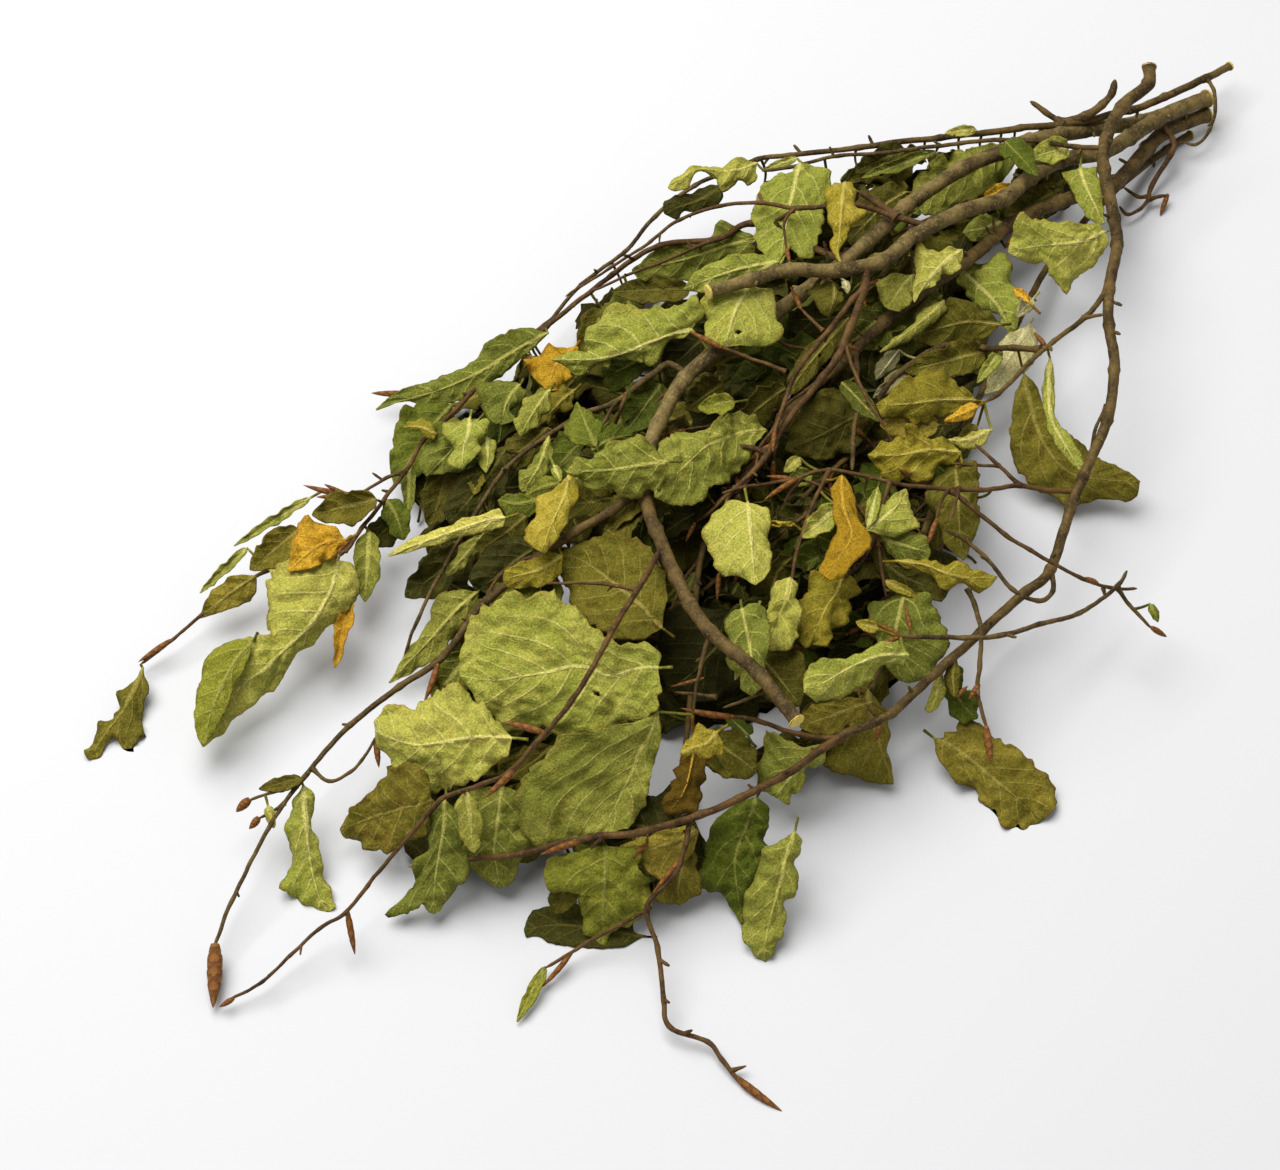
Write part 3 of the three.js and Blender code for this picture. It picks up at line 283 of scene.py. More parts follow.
shoot((1.4, 1.2), [(604, 836, 31), (590, 850, 30)])
bud(2.6, (735, 717, 41), (680, 708, 43))
bud(2.8, (582, 841, 29), (540, 855, 27))
bud(2.8, (468, 860, 18), (407, 867, 13))
twig("bow_twig_right_shoots", "red_brown_bark", (2, 1.8, 1.6, 1.4, 1.2), [
    (1075, 491, 33), (1050, 490, 36), (1020, 486, 40), (980, 490, 46), (930, 488, 51), (890, 483, 54),
    (830, 470, 57), (790, 480, 58), (745, 487, 58), (722, 493, 57),
])
shoot((1.6, 1.2), [(1020, 486, 40), (995, 462, 44), (975, 443, 46)])
shoot((1.2, 1), [(1000, 466, 43), (975, 465, 44), (953, 463, 45)])
shoot((1.6, 1.4, 1.2), [(830, 470, 57), (812, 505, 56), (798, 550, 54), (788, 608, 50)])
shoot((1.6, 1.4, 1.2), [(890, 483, 54), (878, 525, 52), (880, 565, 47), (886, 596, 43)])
shoot((1.4, 1.2), [(878, 532, 51), (862, 560, 49), (843, 580, 46)])
shoot((1.2, 1.0), [(958, 487, 50), (955, 505, 49), (950, 523, 48)])
shoot((1.1, 1.0), [(948, 489, 50), (940, 505, 50), (937, 520, 49)])
bud(2.2, (937, 519, 49), (928, 544, 48))
shoot((1.8, 1.5, 1.2), [
    (950, 490, 49), (965, 502, 48), (1005, 535, 44), (1030, 550, 42), (1080, 578, 37), (1112, 588, 33),
    (1137, 589, 30),
])
bud(2.4, (800, 477, 58), (764, 500, 58))
bud(2.4, (1098, 584, 35), (1085, 577, 38))
twig("front_tip_twig", "red_brown_bark", (2, 1.8, 1.8, 1.6), [
    (690, 819, 34), (686, 842, 30), (675, 875, 25), (647, 908, 19), (657, 950, 14), (664, 1000, 9),
    (670, 1028, 6), (708, 1042, 4.4), (722, 1060, 3.6), (739, 1080, 2.2),
])
shoot((1.3, 1.2), [(731, 1071, 2.9), (747, 1066, 4)])
shoot((1.4, 1.2), [(648, 910, 19), (600, 935, 10), (578, 948, 7), (545, 968, 4)])
bud(3.2, (736, 1077, 1.7), (782, 1111, 0.3))
bud(2.2, (683, 856, 28), (652, 894, 22))
bud(2.2, (572, 952, 6), (541, 988, 3))
twig("curved_butt_shoot", "red_brown_bark", (2.6, 2.2, 1.8), [
    (1160, 122, 17), (1173, 141, 14), (1170, 155, 12), (1152, 185, 6), (1149, 201, 4),
])
shoot((1.4, 1.4), [(1150, 196, 5), (1138, 197, 6), (1124, 188, 8)])
shoot((1.4, 1.4), [(1150, 198, 5), (1140, 209, 5), (1128, 214, 6), (1120, 206, 8)])
shoot((1.4, 1.3), [(1150, 199, 5), (1162, 196, 5), (1168, 195, 5)])
bud(2.4, (1168, 194, 5), (1160, 216, 0.4))
twig("under_twig", "dark_bark", (3.4, 3, 2.6, 2.4, 2, 1.6), [
    (1190, 135, 1.5), (1165, 150, 3), (1120, 186, 7), (1060, 250, 12), (1030, 300, 14), (985, 385, 17),
    (940, 490, 20), (900, 600, 20), (870, 690, 18), (800, 760, 15), (760, 790, 12),
])
shoot((2.2, 1.8, 1.4), [(960, 440, 19), (860, 450, 20), (740, 560, 19), (640, 640, 18), (560, 740, 16)])
print(f"{len(TWIGS)} twigs, {sum(len(t['stems']) - 1 for t in TWIGS)} side shoots")

# %% [markdown]
# ## The list of leaves
#
# A beech leaf is an oval blade on a short stalk. As it dries, its halves fold up or down along the
# midrib, its margins curl, and its midrib arches. So a leaf is listed by its base and tip, its width
# in millimetres, and those bends in degrees for the left and the right half. Crumple is the depth
# of its buckles, and tear says how ragged its margin is.

# %% The leaves
LEAVES = []
EVEN_BEND = (15, 15)
LOW_ARCH = (0.05, 0.05)


def leaf(name, tone, base, tip, width, fold=EVEN_BEND, curl=EVEN_BEND, arch=LOW_ARCH, sway=0.0,
         crumple=1.0, tear=0.1, hole=None, flat=False, margins=None, light=None):
    """Lists a leaf. Margins, where a leaf has them, are its left margin, midrib and right margin. Light, where given,
    scales the colour of the whole leaf: its own tone together with painted light or shade, lighter above 1 and darker
    below.
    """
    LEAVES.append({
        "name": name, "tone": tone, "base": spot(base), "tip": spot(tip), "width": width, "fold": fold,
        "curl": curl, "arch": arch, "sway": sway, "crumple": crumple, "tear": tear, "hole": hole,
        "flat": flat, "roll": 0.0, "margins": margins, "light": light,
    })


leaf("big_pale_leaf", "pale_leaf", (658, 668, 61), (460, 676, 54), 50, arch=(0.1, 0.12), crumple=1.2,
     hole=(0.36, -0.4, 1.0), margins=(
         [(661, 690), (655, 712), (632, 726, -1), (605, 734, -2), (570, 735, -2), (530, 733, -3),
          (500, 728, -4), (487, 703, -2), (470, 690, -1)],
         [(640, 668, -1), (609, 676, -3), (590, 668), (570, 667, 1), (545, 673, 3), (520, 677, 3),
          (490, 681, 2)],
         [(662, 655), (645, 642), (622, 646, -1), (604, 636, -1), (590, 622), (575, 604),
          (548, 588, -1), (515, 596, -2), (485, 605, -3), (464, 626, -3), (459, 655, -2)]))
leaf("pale_leaf_beside_it", "pale_leaf", (512, 738, 52), (374, 722, 36), 34, arch=(0.06, 0.12), crumple=1.2,
     margins=(
         [(508, 755, 1), (480, 776, 1), (455, 788), (432, 798, -1), (414, 782, -2), (393, 758, -2),
          (378, 742, -2)],
         [(480, 737, 3), (445, 742, 4), (415, 745, 3), (392, 735)],
         [(497, 722), (488, 706), (462, 689, -1), (432, 693, -2), (412, 707, -2), (390, 708, -3)]), light=1.03)
leaf("broad_leaf_below", "green_leaf", (658, 712, 52), (598, 836, 27), 46, arch=(0.04, 0.08), margins=(
    [(661, 728), (660, 743, -1), (653, 765, -2), (648, 790, -3), (644, 806, -3), (628, 828, -2)],
    [(650, 735, -1), (640, 752, -2), (633, 770, -3), (622, 793, -3), (612, 813, -2)],
    [(640, 722, 2), (600, 728, 3), (560, 736, 3), (540, 762, 2), (522, 782), (516, 802, -2),
     (522, 828, -3), (540, 845, -3), (575, 842, -1)]), light=1.02)
leaf("olive_leaf_above", "olive_leaf", (662, 628, 54), (562, 552, 47), 31, margins=(
    [(645, 640), (615, 640), (590, 620), (568, 600), (560, 575)],
    [(640, 605), (612, 582), (585, 562)],
    [(668, 600), (662, 570), (650, 548), (630, 535), (605, 533), (580, 540)]))
leaf("bright_centre_leaf", "pale_leaf", (748, 503, 60), (755, 585, 60), 24, arch=(0.05, 0.15),
     crumple=0.5, tear=0.03, margins=(
    [(766, 507), (770, 522, -1), (768, 545, -2), (771, 567, -1), (765, 578, -1)],
    [(750, 525, 2), (752, 550, 2)],
    [(728, 503), (711, 513, -1), (703, 535, -2), (709, 553, -2), (715, 567, -2), (724, 577, -3),
     (738, 576, -2)]))
leaf("golden_leaf", "golden_leaf", (842, 476, 62), (830, 580, 60), 14, arch=(0.15, 0.1), margins=(
    [(852, 488), (860, 518, 1), (869, 538, 1), (868, 549), (850, 566), (842, 578, -1)],
    [(843, 505, 2), (852, 535, 1), (838, 560)],
    [(830, 488), (835, 503, -1), (840, 528, -2), (828, 546, -2), (820, 572, -2)]), light=0.78)
leaf("torn_green_leaf", "pale_leaf", (692, 330, 64), (552, 360, 44), 26, arch=(0.06, 0.1), crumple=1.2,
     margins=(
         [(684, 338), (674, 341), (664, 353, -1), (652, 365, -3), (647, 354, -2), (614, 357, -1),
          (609, 369, -2), (600, 362, -1), (580, 374, -3), (566, 367, -2)],
         [(672, 335, 2), (648, 343, 2), (620, 354, 2), (590, 359, 1)],
         [(704, 312), (697, 297, 1), (680, 306, 2), (655, 304, 2), (640, 309, 1), (624, 302),
          (606, 312), (583, 337, -1), (598, 342, -1), (590, 350, -2), (570, 354, -2)]))
leaf("green_leaf_over_grey_branch", "green_leaf", (766, 430, 45), (655, 497, 62), 30, arch=(0.1, 0.1),
     crumple=1.2, margins=(
         [(752, 445), (740, 470, -1), (728, 483, -2), (704, 486, -1), (697, 499, -2), (676, 506, -2)],
         [(740, 434), (722, 440, 1), (700, 450, 1), (685, 465, 1), (668, 482)],
         [(752, 418), (738, 412), (716, 422, 1), (705, 431, 1), (688, 428, 1), (668, 434),
          (658, 450), (652, 470)]), light=1.0)
leaf("green_leaf_left_of_grey_branch", "green_leaf", (668, 462, 70), (566, 472, 64), 27, arch=(0.08, 0.1),
     margins=(
         [(664, 480), (655, 493, -1), (632, 498, -2), (606, 492, -2), (585, 482, -2)],
         [(640, 466, 2), (610, 470, 2)],
         [(655, 448), (634, 434), (612, 446), (596, 456), (580, 462, -1)]))
leaf("round_upper_leaf", "pale_leaf", (800, 163, 50), (781, 264, 50), 28, arch=(0.04, 0.06), crumple=0.8,
     margins=(
         [(812, 166), (828, 175, -1), (828, 195, -1), (823, 215, -1), (819, 240, -1), (813, 258, -2),
          (801, 260, -2), (795, 248, -1), (790, 246)],
         [(795, 185, 1), (788, 215, 1), (783, 245)],
         [(792, 173), (778, 176), (766, 186), (757, 196), (752, 212), (753, 232, -1),
          (758, 244, -1), (765, 255, -1), (773, 261, -1)]), light=0.85)
leaf("leaf_under_thick_branch_end", "pale_leaf", (750, 286, 67), (724, 347, 64), 27, crumple=0.6, tear=0.05,
     hole=(0.75, -0.25, 0.9), margins=(
         [(772, 290), (777, 312), (780, 338, -1), (765, 347, -2), (742, 345, -1)],
         [(738, 305, 2), (730, 328, 2)],
         [(722, 290), (700, 300, -1), (704, 312, -2), (710, 322, -2), (706, 340, -2), (714, 347, -1)]))
leaf("leaf_by_bow_twig", "pale_leaf", (1105, 232, 38), (1008, 252, 42), 28, arch=(0.08, 0.08), margins=(
    [(1107, 245), (1099, 262, -1), (1090, 272, -2), (1080, 281, -3), (1066, 291, -4), (1056, 284, -3),
     (1050, 268, -2), (1044, 262, -1), (1036, 266, -1), (1022, 260)],
    [(1080, 242, 1), (1050, 245, 2), (1025, 248, 1)],
    [(1098, 224), (1083, 226), (1062, 222, 1), (1040, 218, 1), (1020, 215, 1), (1013, 232)]))
leaf("grey_green_top_leaf", "green_leaf", (1002, 152, 25), (912, 204, 32), 24, margins=(
    [(1003, 165), (998, 185), (975, 198), (950, 212), (925, 216)],
    [(975, 168), (945, 185)],
    [(985, 146), (965, 149), (945, 154), (928, 164), (915, 180)]))
leaf("dark_edge_leaf", "dark_leaf", (925, 158, 32), (845, 183, 34), 17, fold=(20, 10), curl=(40, 30),
     arch=(0.05, -0.05), crumple=1.5)
leaf("pale_brown_leaf", "pale_leaf", (962, 271, 26), (1013, 337, 22), 19, arch=(0.15, 0.1), margins=(
    [(975, 262), (1000, 256), (1009, 262), (1013, 280, -1), (1017, 300, -1), (1019, 318)],
    [(976, 284, 2), (990, 297, 2), (1003, 314, 1)],
    [(960, 282), (965, 293), (976, 303), (986, 309), (998, 314), (1005, 324)]), light=0.86)
leaf("leaf_over_dark_branch", "pale_leaf", (962, 250, 48), (914, 302, 49), 18, arch=(0.1, 0.1), tear=0.05,
     margins=(
    [(963, 260), (957, 269), (944, 274, -1), (933, 282), (922, 292)],
    [(945, 262, 1), (928, 280, 1)],
    [(950, 250), (935, 251), (917, 247, -1), (914, 262, -1), (917, 275), (913, 288)]))
leaf("far_tip_leaf", "green_leaf", (757, 163, 43), (668, 188, 47), 19, arch=(0.2, 0.2), light=1.25, margins=(
    [(757, 176), (748, 186), (739, 181), (722, 192), (717, 178), (705, 173),
     (695, 175), (685, 187), (674, 190)],
    [(740, 170, 2), (715, 170, 2), (695, 170, 2), (680, 180, 1)],
    [(745, 158), (725, 163), (705, 165), (690, 171), (672, 181)]))
leaf("far_tip_flap", "dark_leaf", (724, 186, 41), (664, 213, 40), 12, arch=(0.15, 0.15), margins=(
    [(722, 196), (714, 209), (697, 212), (684, 210), (677, 219)],
    [(700, 200, 1), (680, 207, 1)],
    [(712, 185), (697, 192), (680, 196), (664, 204)]))
leaf("grey_leaf_at_far_edge", "green_leaf", (760, 240, 38), (632, 270, 27), 19, margins=(
    [(755, 255), (735, 262, -1), (705, 272, -1), (670, 285, -1), (645, 285)],
    [(730, 245, 1), (690, 258, 1), (655, 266, 1)],
    [(752, 236), (735, 228), (722, 221), (713, 226), (708, 237), (690, 242),
     (668, 247), (650, 255)]))
leaf("pale_leaf_behind_branch_end", "pale_leaf", (778, 262, 53), (684, 289, 54), 15, margins=(
    [(775, 275), (750, 282, -1), (725, 290, -1), (700, 292)],
    [(745, 268, 1), (715, 277, 1)],
    [(764, 254), (745, 255), (728, 257), (710, 264), (695, 273)]))
leaf("yellow_olive_leaf", "yellow_leaf", (975, 400, 50), (876, 405, 55), 18, arch=(0.1, 0.1), light=0.66, margins=(
    [(960, 408), (945, 413, -1), (932, 423, -1), (915, 420, -1), (895, 418, -1), (882, 415, -1)],
    [(940, 400, 2), (905, 404, 2)],
    [(966, 388), (950, 375, -1), (925, 371, -1), (905, 380), (890, 393)]))
leaf("crumpled_olive_leaf", "yellow_leaf", (960, 452, 47), (868, 455, 47), 20, arch=(0.1, 0.1), crumple=1.4,
     light=0.88, margins=(
         [(956, 463), (942, 468, -1), (930, 478, -2), (912, 480, -2), (896, 487, -2), (887, 478, -2),
          (885, 468, -2), (875, 467, -2)],
         [(930, 450, 2), (900, 455, 2)],
         [(950, 441), (930, 437), (915, 427), (905, 440), (897, 437), (885, 447, -1)]))
leaf("leaf_behind_bow_twig", "olive_leaf", (1024, 374, 32), (1140, 482, 16), 24, arch=(0.12, 0.1), margins=(
    [(1036, 386), (1046, 410, 1), (1057, 426, 1), (1072, 437, 1), (1089, 449), (1105, 460),
     (1128, 472)],
    [(1032, 410), (1045, 445), (1070, 473), (1105, 480)],
    [(1015, 392), (1012, 422, -1), (1014, 460, -2), (1022, 480, -2), (1048, 497, -3), (1077, 506, -3),
     (1108, 500, -3), (1127, 505, -3), (1138, 497, -2)]), light=0.95)
leaf("grey_olive_right_leaf", "green_leaf", (905, 590, 42), (918, 681, 27), 28, arch=(0.06, 0.06),
     margins=(
         [(928, 597), (932, 608), (940, 615), (944, 630), (948, 645), (940, 660), (930, 673)],
         [(900, 612, 2), (896, 635, 2), (905, 662, 1)],
         [(880, 598), (868, 605), (866, 620), (873, 635), (880, 650), (886, 665), (895, 677),
          (908, 683)]), light=0.82)
leaf("pale_leaf_over_bow_fork", "pale_leaf", (908, 655, 48), (804, 692, 52), 14, arch=(0.12, 0.12), margins=(
    [(905, 666, -1), (886, 668, -1), (856, 689, -2), (834, 699, -2), (818, 704, -2)],
    [(880, 656, 2), (850, 668, 2), (825, 682, 1)],
    [(900, 643), (876, 644), (858, 652), (834, 659), (811, 664, -1), (803, 678, -2)]), light=0.92)
leaf("leaf_under_bow_fork", "olive_leaf", (868, 690, 26), (893, 784, 6), 22, margins=(
    [(878, 700), (884, 722, -1), (889, 750, -1)],
    [(872, 720, 1), (882, 752)],
    [(850, 710, -1), (835, 740, -2), (822, 761, -3), (848, 772, -3), (876, 784, -2)]), light=0.92)
leaf("pale_leaf_under_front_fork", "pale_leaf", (828, 744, 30), (775, 797, 14), 20, tear=0.05, light=0.9,
     margins=(
    [(822, 760, -1), (806, 770, -2), (797, 788, -2), (787, 801, -3)],
    [(805, 760, 1), (788, 780)],
    [(800, 748), (782, 740, -1), (764, 730, -1), (761, 755, -2), (758, 780, -3), (757, 790, -3)]))
leaf("lone_right_leaf", "olive_leaf", (934, 738, 10), (1040, 822, 0.5), 30, arch=(0.08, 0.1), crumple=1.3, margins=(
         [(946, 742), (948, 735), (958, 733), (962, 724), (972, 722), (987, 729), (1001, 736),
          (1005, 746), (1016, 748), (1028, 760), (1038, 770), (1050, 777), (1058, 790),
          (1060, 802), (1050, 813)],
         [(960, 752, 1), (985, 772, 2), (1010, 792, 2), (1030, 812)],
         [(937, 752), (944, 762), (950, 773), (962, 782), (975, 792), (977, 800), (990, 813),
          (1003, 820), (1015, 829), (1026, 828)]), light=1.0)
leaf("dark_left_leaf", "olive_leaf", (432, 800, 34), (340, 830, 12), 26, arch=(0.1, 0.1), margins=(
    [(427, 833), (410, 841), (392, 848, -1), (372, 846, -1), (356, 843, -2), (345, 838, -1)],
    [(410, 806), (380, 815, 1), (358, 823)],
    [(428, 770, 1), (410, 762, 2), (390, 768, 2), (375, 785, 1), (360, 802), (349, 815, -1)]), light=0.97)
leaf("yellow_green_front_leaf", "vivid_leaf", (606, 846, 26), (604, 947, 0), 32, arch=(0.08, 0.08),
     crumple=1.2, margins=(
         [(640, 850), (634, 868), (651, 882, 1), (651, 902), (640, 914), (624, 927, -1),
          (612, 936, -1)],
         [(606, 870, 2), (604, 900, 2), (603, 925, 1)],
         [(575, 852), (546, 860, -1), (549, 871, -1), (558, 883, -2), (577, 885, -1), (581, 895, -1),
          (576, 908, -2), (583, 920, -1), (585, 931, -1), (595, 940, -1)]), light=1.15)
leaf("pressed_front_leaf", "dark_leaf", (643, 936, 0.4), (524, 930, 0.4), 15, crumple=0, flat=True, margins=(
    [(625, 946), (600, 948), (560, 945), (547, 941), (537, 935), (526, 937)],
    [(600, 930), (560, 925)],
    [(633, 932), (632, 918), (600, 908), (565, 905), (547, 908), (531, 911)]), light=0.9)
leaf("brown_front_leaf", "green_leaf", (502, 786, 34), (500, 888, 8), 32, arch=(0.1, 0.1), light=0.95, margins=(
    [(522, 795), (524, 830), (524, 858), (517, 866), (513, 881)],
    [(498, 820, 2), (494, 850, 2), (498, 872, 1)],
    [(472, 790), (457, 800), (456, 830), (460, 855), (473, 872), (488, 884)]))
leaf("leaf_before_front_fork", "olive_leaf", (698, 830, 27), (628, 870, 18), 20, arch=(0.1, 0.1), margins=(
    [(694, 850), (682, 868), (668, 884), (658, 877, 1), (646, 866, 1), (636, 861, 1)],
    [(675, 842, 1), (650, 850, 1)],
    [(690, 825), (665, 832), (640, 838), (620, 848), (618, 862)]))
leaf("dark_green_front_leaf", "vivid_leaf", (757, 797, 28), (742, 925, 2), 26, arch=(0.1, 0.08), crumple=1.3,
     margins=(
         [(766, 810), (765, 840), (772, 856), (770, 880, -1), (760, 900, -1), (750, 918, -1)],
         [(745, 830, 1), (735, 860, 2), (738, 895, 1)],
         [(735, 805), (720, 818), (706, 845, -1), (700, 870, -1), (699, 890, -2), (715, 899, -2),
          (730, 911, -2)]), light=0.9)
leaf("hanging_front_leaf", "green_leaf", (795, 832, 28), (765, 962, 0), 24, arch=(0.15, 0.12), light=1.0, margins=(
    [(800, 841), (799, 857), (795, 878), (793, 895), (787, 914), (780, 934),
     (773, 950)],
    [(788, 852, 2), (780, 885, 2), (770, 920, 2), (765, 945, 1)],
    [(783, 838), (767, 850), (757, 868), (749, 893, -1), (742, 915, -1), (741, 934, -1),
     (750, 944, -1), (759, 955, -1)]))
leaf("s_curved_left_leaf", "pale_leaf", (338, 560, 34), (203, 747, 10), 26, arch=(0.12, 0.12), margins=(
    [(350, 562), (358, 575, -1), (360, 590, -2), (350, 604, -2), (338, 611, -2), (318, 632, -2),
     (299, 656, -2), (273, 684, -3), (243, 707, -3), (229, 720, -3), (222, 733, -2)],
    [(331, 590, 2), (312, 622, 3), (290, 645, 3), (262, 670, 3), (235, 692, 2), (213, 720, 1)],
    [(322, 557), (298, 563, 1), (266, 568, 2), (267, 588, 1), (271, 612), (276, 627),
     (272, 638, 1), (254, 642, 2), (237, 641, 3), (220, 651, 4), (208, 666, 4), (199, 686, 3),
     (196, 710, 2), (197, 735, 1)]))
leaf("far_green_leaf", "green_leaf", (548, 333, 33), (376, 410, 20), 22, arch=(0.1, 0.1), margins=(
    [(533, 348), (516, 365), (500, 378), (476, 389), (460, 397, -1), (440, 408, -2),
     (420, 401, -1), (398, 403, -1)],
    [(520, 348, 1), (480, 372, 1), (440, 390, 1), (405, 400)],
    [(528, 327), (512, 330), (498, 336, 1), (484, 345, 1), (474, 359), (456, 370),
     (434, 379), (408, 388), (390, 397)]), light=0.87)
leaf("orange_leaf", "golden_leaf", (576, 346, 31), (548, 391, 32), 17, arch=(0.15, 0.15), crumple=1.5,
     margins=(
         [(581, 354), (576, 368), (568, 383), (560, 390)],
         [(562, 356, 2), (552, 375, 1)],
         [(560, 342), (543, 345), (530, 350), (522, 362), (530, 372), (538, 382)]))
leaf("grey_left_leaf", "green_leaf", (478, 592, 22), (389, 683, 8), 22, light=1.05, margins=(
    [(476, 605), (468, 622), (450, 642), (437, 657), (412, 673)], [(455, 612, 2), (430, 640, 2)],
    [(460, 590), (441, 594), (432, 615), (417, 640), (402, 662)]))
leaf("s_curved_left_flap", "vivid_leaf", (252, 643, 30), (203, 745, 19), 18, light=1.3, crumple=0.4,
     arch=(0.1, 0.1), margins=(
         [(247, 660), (234, 688), (223, 712), (213, 733)], [(234, 664, 1), (214, 705, 1)],
         [(238, 639), (218, 646), (205, 662), (198, 686), (195, 712), (197, 735)]))
leaf("tall_brown_leaf", "yellow_leaf", (570, 472, 59), (545, 554, 60), 16, arch=(0.15, 0.15),
     crumple=0.7, tear=0.05, light=0.95, margins=(
    [(578, 482), (579, 492), (574, 506), (566, 521), (556, 536)],
    [(565, 495, 2), (556, 515, 3), (546, 538, 2)],
    [(560, 484), (548, 494), (539, 502), (537, 515), (529, 527), (524, 538),
     (533, 547)]))
leaf("hanging_left_leaf", "pale_leaf", (303, 785, 21), (328, 912, 0), 18, arch=(0.15, 0.1), margins=(
    [(312, 795), (314, 820), (320, 855), (330, 885), (335, 906)],
    [(306, 820, 2), (310, 860, 2), (318, 895, 1)],
    [(296, 800), (290, 825), (288, 855), (283, 888), (300, 903), (314, 911)]), light=0.93)
leaf("leftmost_leaf", "olive_leaf", (143, 668, 7), (88, 759, 1), 15, arch=(0.12, 0.12), margins=(
    [(144, 690), (141, 710), (145, 735), (132, 744), (133, 754), (120, 750), (116, 733),
     (106, 742), (100, 758)],
    [(130, 700, 2), (112, 725, 2), (98, 745, 1)],
    [(136, 680), (123, 698), (110, 718), (95, 735), (84, 750)]), light=0.88)
leaf("leaf_under_branch_fork", "pale_leaf", (1080, 168, 34), (1104, 224, 33), 15, crumple=0.6, margins=(
    [(1096, 168), (1099, 185), (1103, 205)],
    [(1085, 185, 1), (1095, 205, 1)],
    [(1063, 174), (1071, 188), (1078, 202), (1087, 217), (1097, 223)]))
leaf("pale_centre_leaf", "pale_leaf", (866, 530, 57), (906, 489, 56), 18, light=1.0, margins=(
    [(874, 515), (882, 503), (893, 494)], [(880, 520, 1), (897, 506, 1)],
    [(880, 534), (893, 536), (905, 533), (916, 529), (917, 512), (912, 499)]))
leaf("ribbed_left_leaf", "pale_leaf", (470, 418, 37), (462, 470, 34), 17, arch=(0.12, 0.12), margins=(
    [(487, 424), (484, 438), (476, 454)],
    [(468, 435, 2), (463, 452, 1)],
    [(452, 418), (441, 422), (446, 436), (452, 449), (446, 463)]))
leaf("dark_far_leaf", "vivid_leaf", (452, 405, 22), (394, 484, 12), 24, light=0.95, margins=(
    [(450, 425), (440, 450), (425, 470), (408, 482)], [(430, 430, 1), (410, 460, 1)],
    [(430, 401), (409, 404), (398, 420), (391, 445), (390, 468)]))
leaf("pointed_left_leaf", "pale_leaf", (505, 518, 46), (388, 556, 36), 11, crumple=0.7, arch=(0.15, 0.1), margins=(
         [(503, 525), (490, 531), (470, 535), (450, 540), (425, 545), (405, 552)],
         [(485, 521, 1), (450, 533, 1), (415, 545, 1)],
         [(500, 509), (490, 511), (480, 517), (463, 518), (455, 525), (440, 529), (416, 537),
          (400, 547)]), light=1.25)
leaf("leaf_beside_s_curved", "pale_leaf", (322, 578, 28), (268, 630, 16), 18, fold=(10, 10), curl=(20, 20))
leaf("curled_yellow_leaf", "yellow_leaf", (845, 182, 60), (843, 268, 58), 16, arch=(0.2, 0.2), margins=(
    [(850, 183), (858, 194), (856, 205), (864, 212), (858, 221), (848, 226),
     (847, 240), (841, 250)],
    [(842, 205, 3), (840, 230, 2), (838, 252, 1)],
    [(835, 186), (826, 198), (826, 210), (829, 224), (833, 238), (833, 252)]), light=0.95)
leaf("layered_leaf", "yellow_leaf", (897, 561, 48), (997, 577, 42), 16, arch=(0.2, 0.15), crumple=1.2,
     light=0.85, margins=(
         [(915, 562), (926, 560), (940, 563), (955, 561), (966, 570), (981, 575)],
         [(925, 565, 2), (945, 573, 2), (970, 578, 1)],
         [(905, 568), (925, 571), (937, 577), (948, 589), (956, 583), (966, 583), (973, 590), (980, 593),
          (986, 586)]))
leaf("olive_upper_layer", "green_leaf", (882, 538, 49), (931, 553, 46), 16, crumple=0.8, light=0.88, margins=(
    [(895, 533), (912, 532), (925, 537), (928, 545)], [(905, 546, 1)],
    [(887, 550), (897, 562), (915, 564), (926, 562)]))
leaf("dark_centre_leaf", "yellow_leaf", (845, 570, 47), (806, 648, 42), 24, arch=(0.15, 0.12), crumple=1.3,
     light=0.8, tear=0.05, margins=(
         [(857, 582), (863, 590), (857, 602), (850, 612, -1), (846, 624, -1), (838, 634, -1), (824, 644, -1)],
         [(838, 590, 3), (828, 605, 3), (818, 626, 2)],
         [(832, 576), (815, 576, -1), (806, 586, -1), (800, 602, -1), (797, 620, -1), (796, 638, -1)]))
leaf("dark_leaf_behind_torn_leaf", "dark_leaf", (716, 328, 50), (664, 374, 44), 26, light=0.5)
leaf("dark_leaf_in_the_fork", "olive_leaf", (722, 384, 42), (686, 410, 40), 14, light=0.55)
leaf("dark_tip_leaf", "olive_leaf", (256, 576, 20), (200, 618, 10), 13, margins=(
    [(256, 590), (250, 602), (225, 610)],
    [(235, 590, 1), (218, 603)],
    [(245, 575), (232, 577), (212, 591)]))
leaf("brown_left_leaf", "olive_leaf", (377, 500, 33), (312, 515, 27), 14, fold=(10, 20))
leaf("golden_left_leaf", "golden_leaf", (346, 540, 40), (288, 571, 38), 15, margins=(
    [(338, 550), (325, 562), (303, 570)],
    [(320, 545, 1)],
    [(334, 527), (306, 517), (298, 522), (293, 545)]))
leaf("orange_strip_leaf", "golden_leaf", (352, 590, 25), (335, 668, 14), 8, fold=(40, 40))
leaf("yellow_scrap_leaf", "yellow_leaf", (717, 732, 57), (680, 754, 55), 12, crumple=0.8, margins=(
    [(721, 741), (724, 755), (707, 757), (699, 752), (690, 753)], [(706, 744, 1), (692, 748, 1)],
    [(706, 729), (697, 723), (693, 735), (689, 743), (684, 747)]), light=0.95)
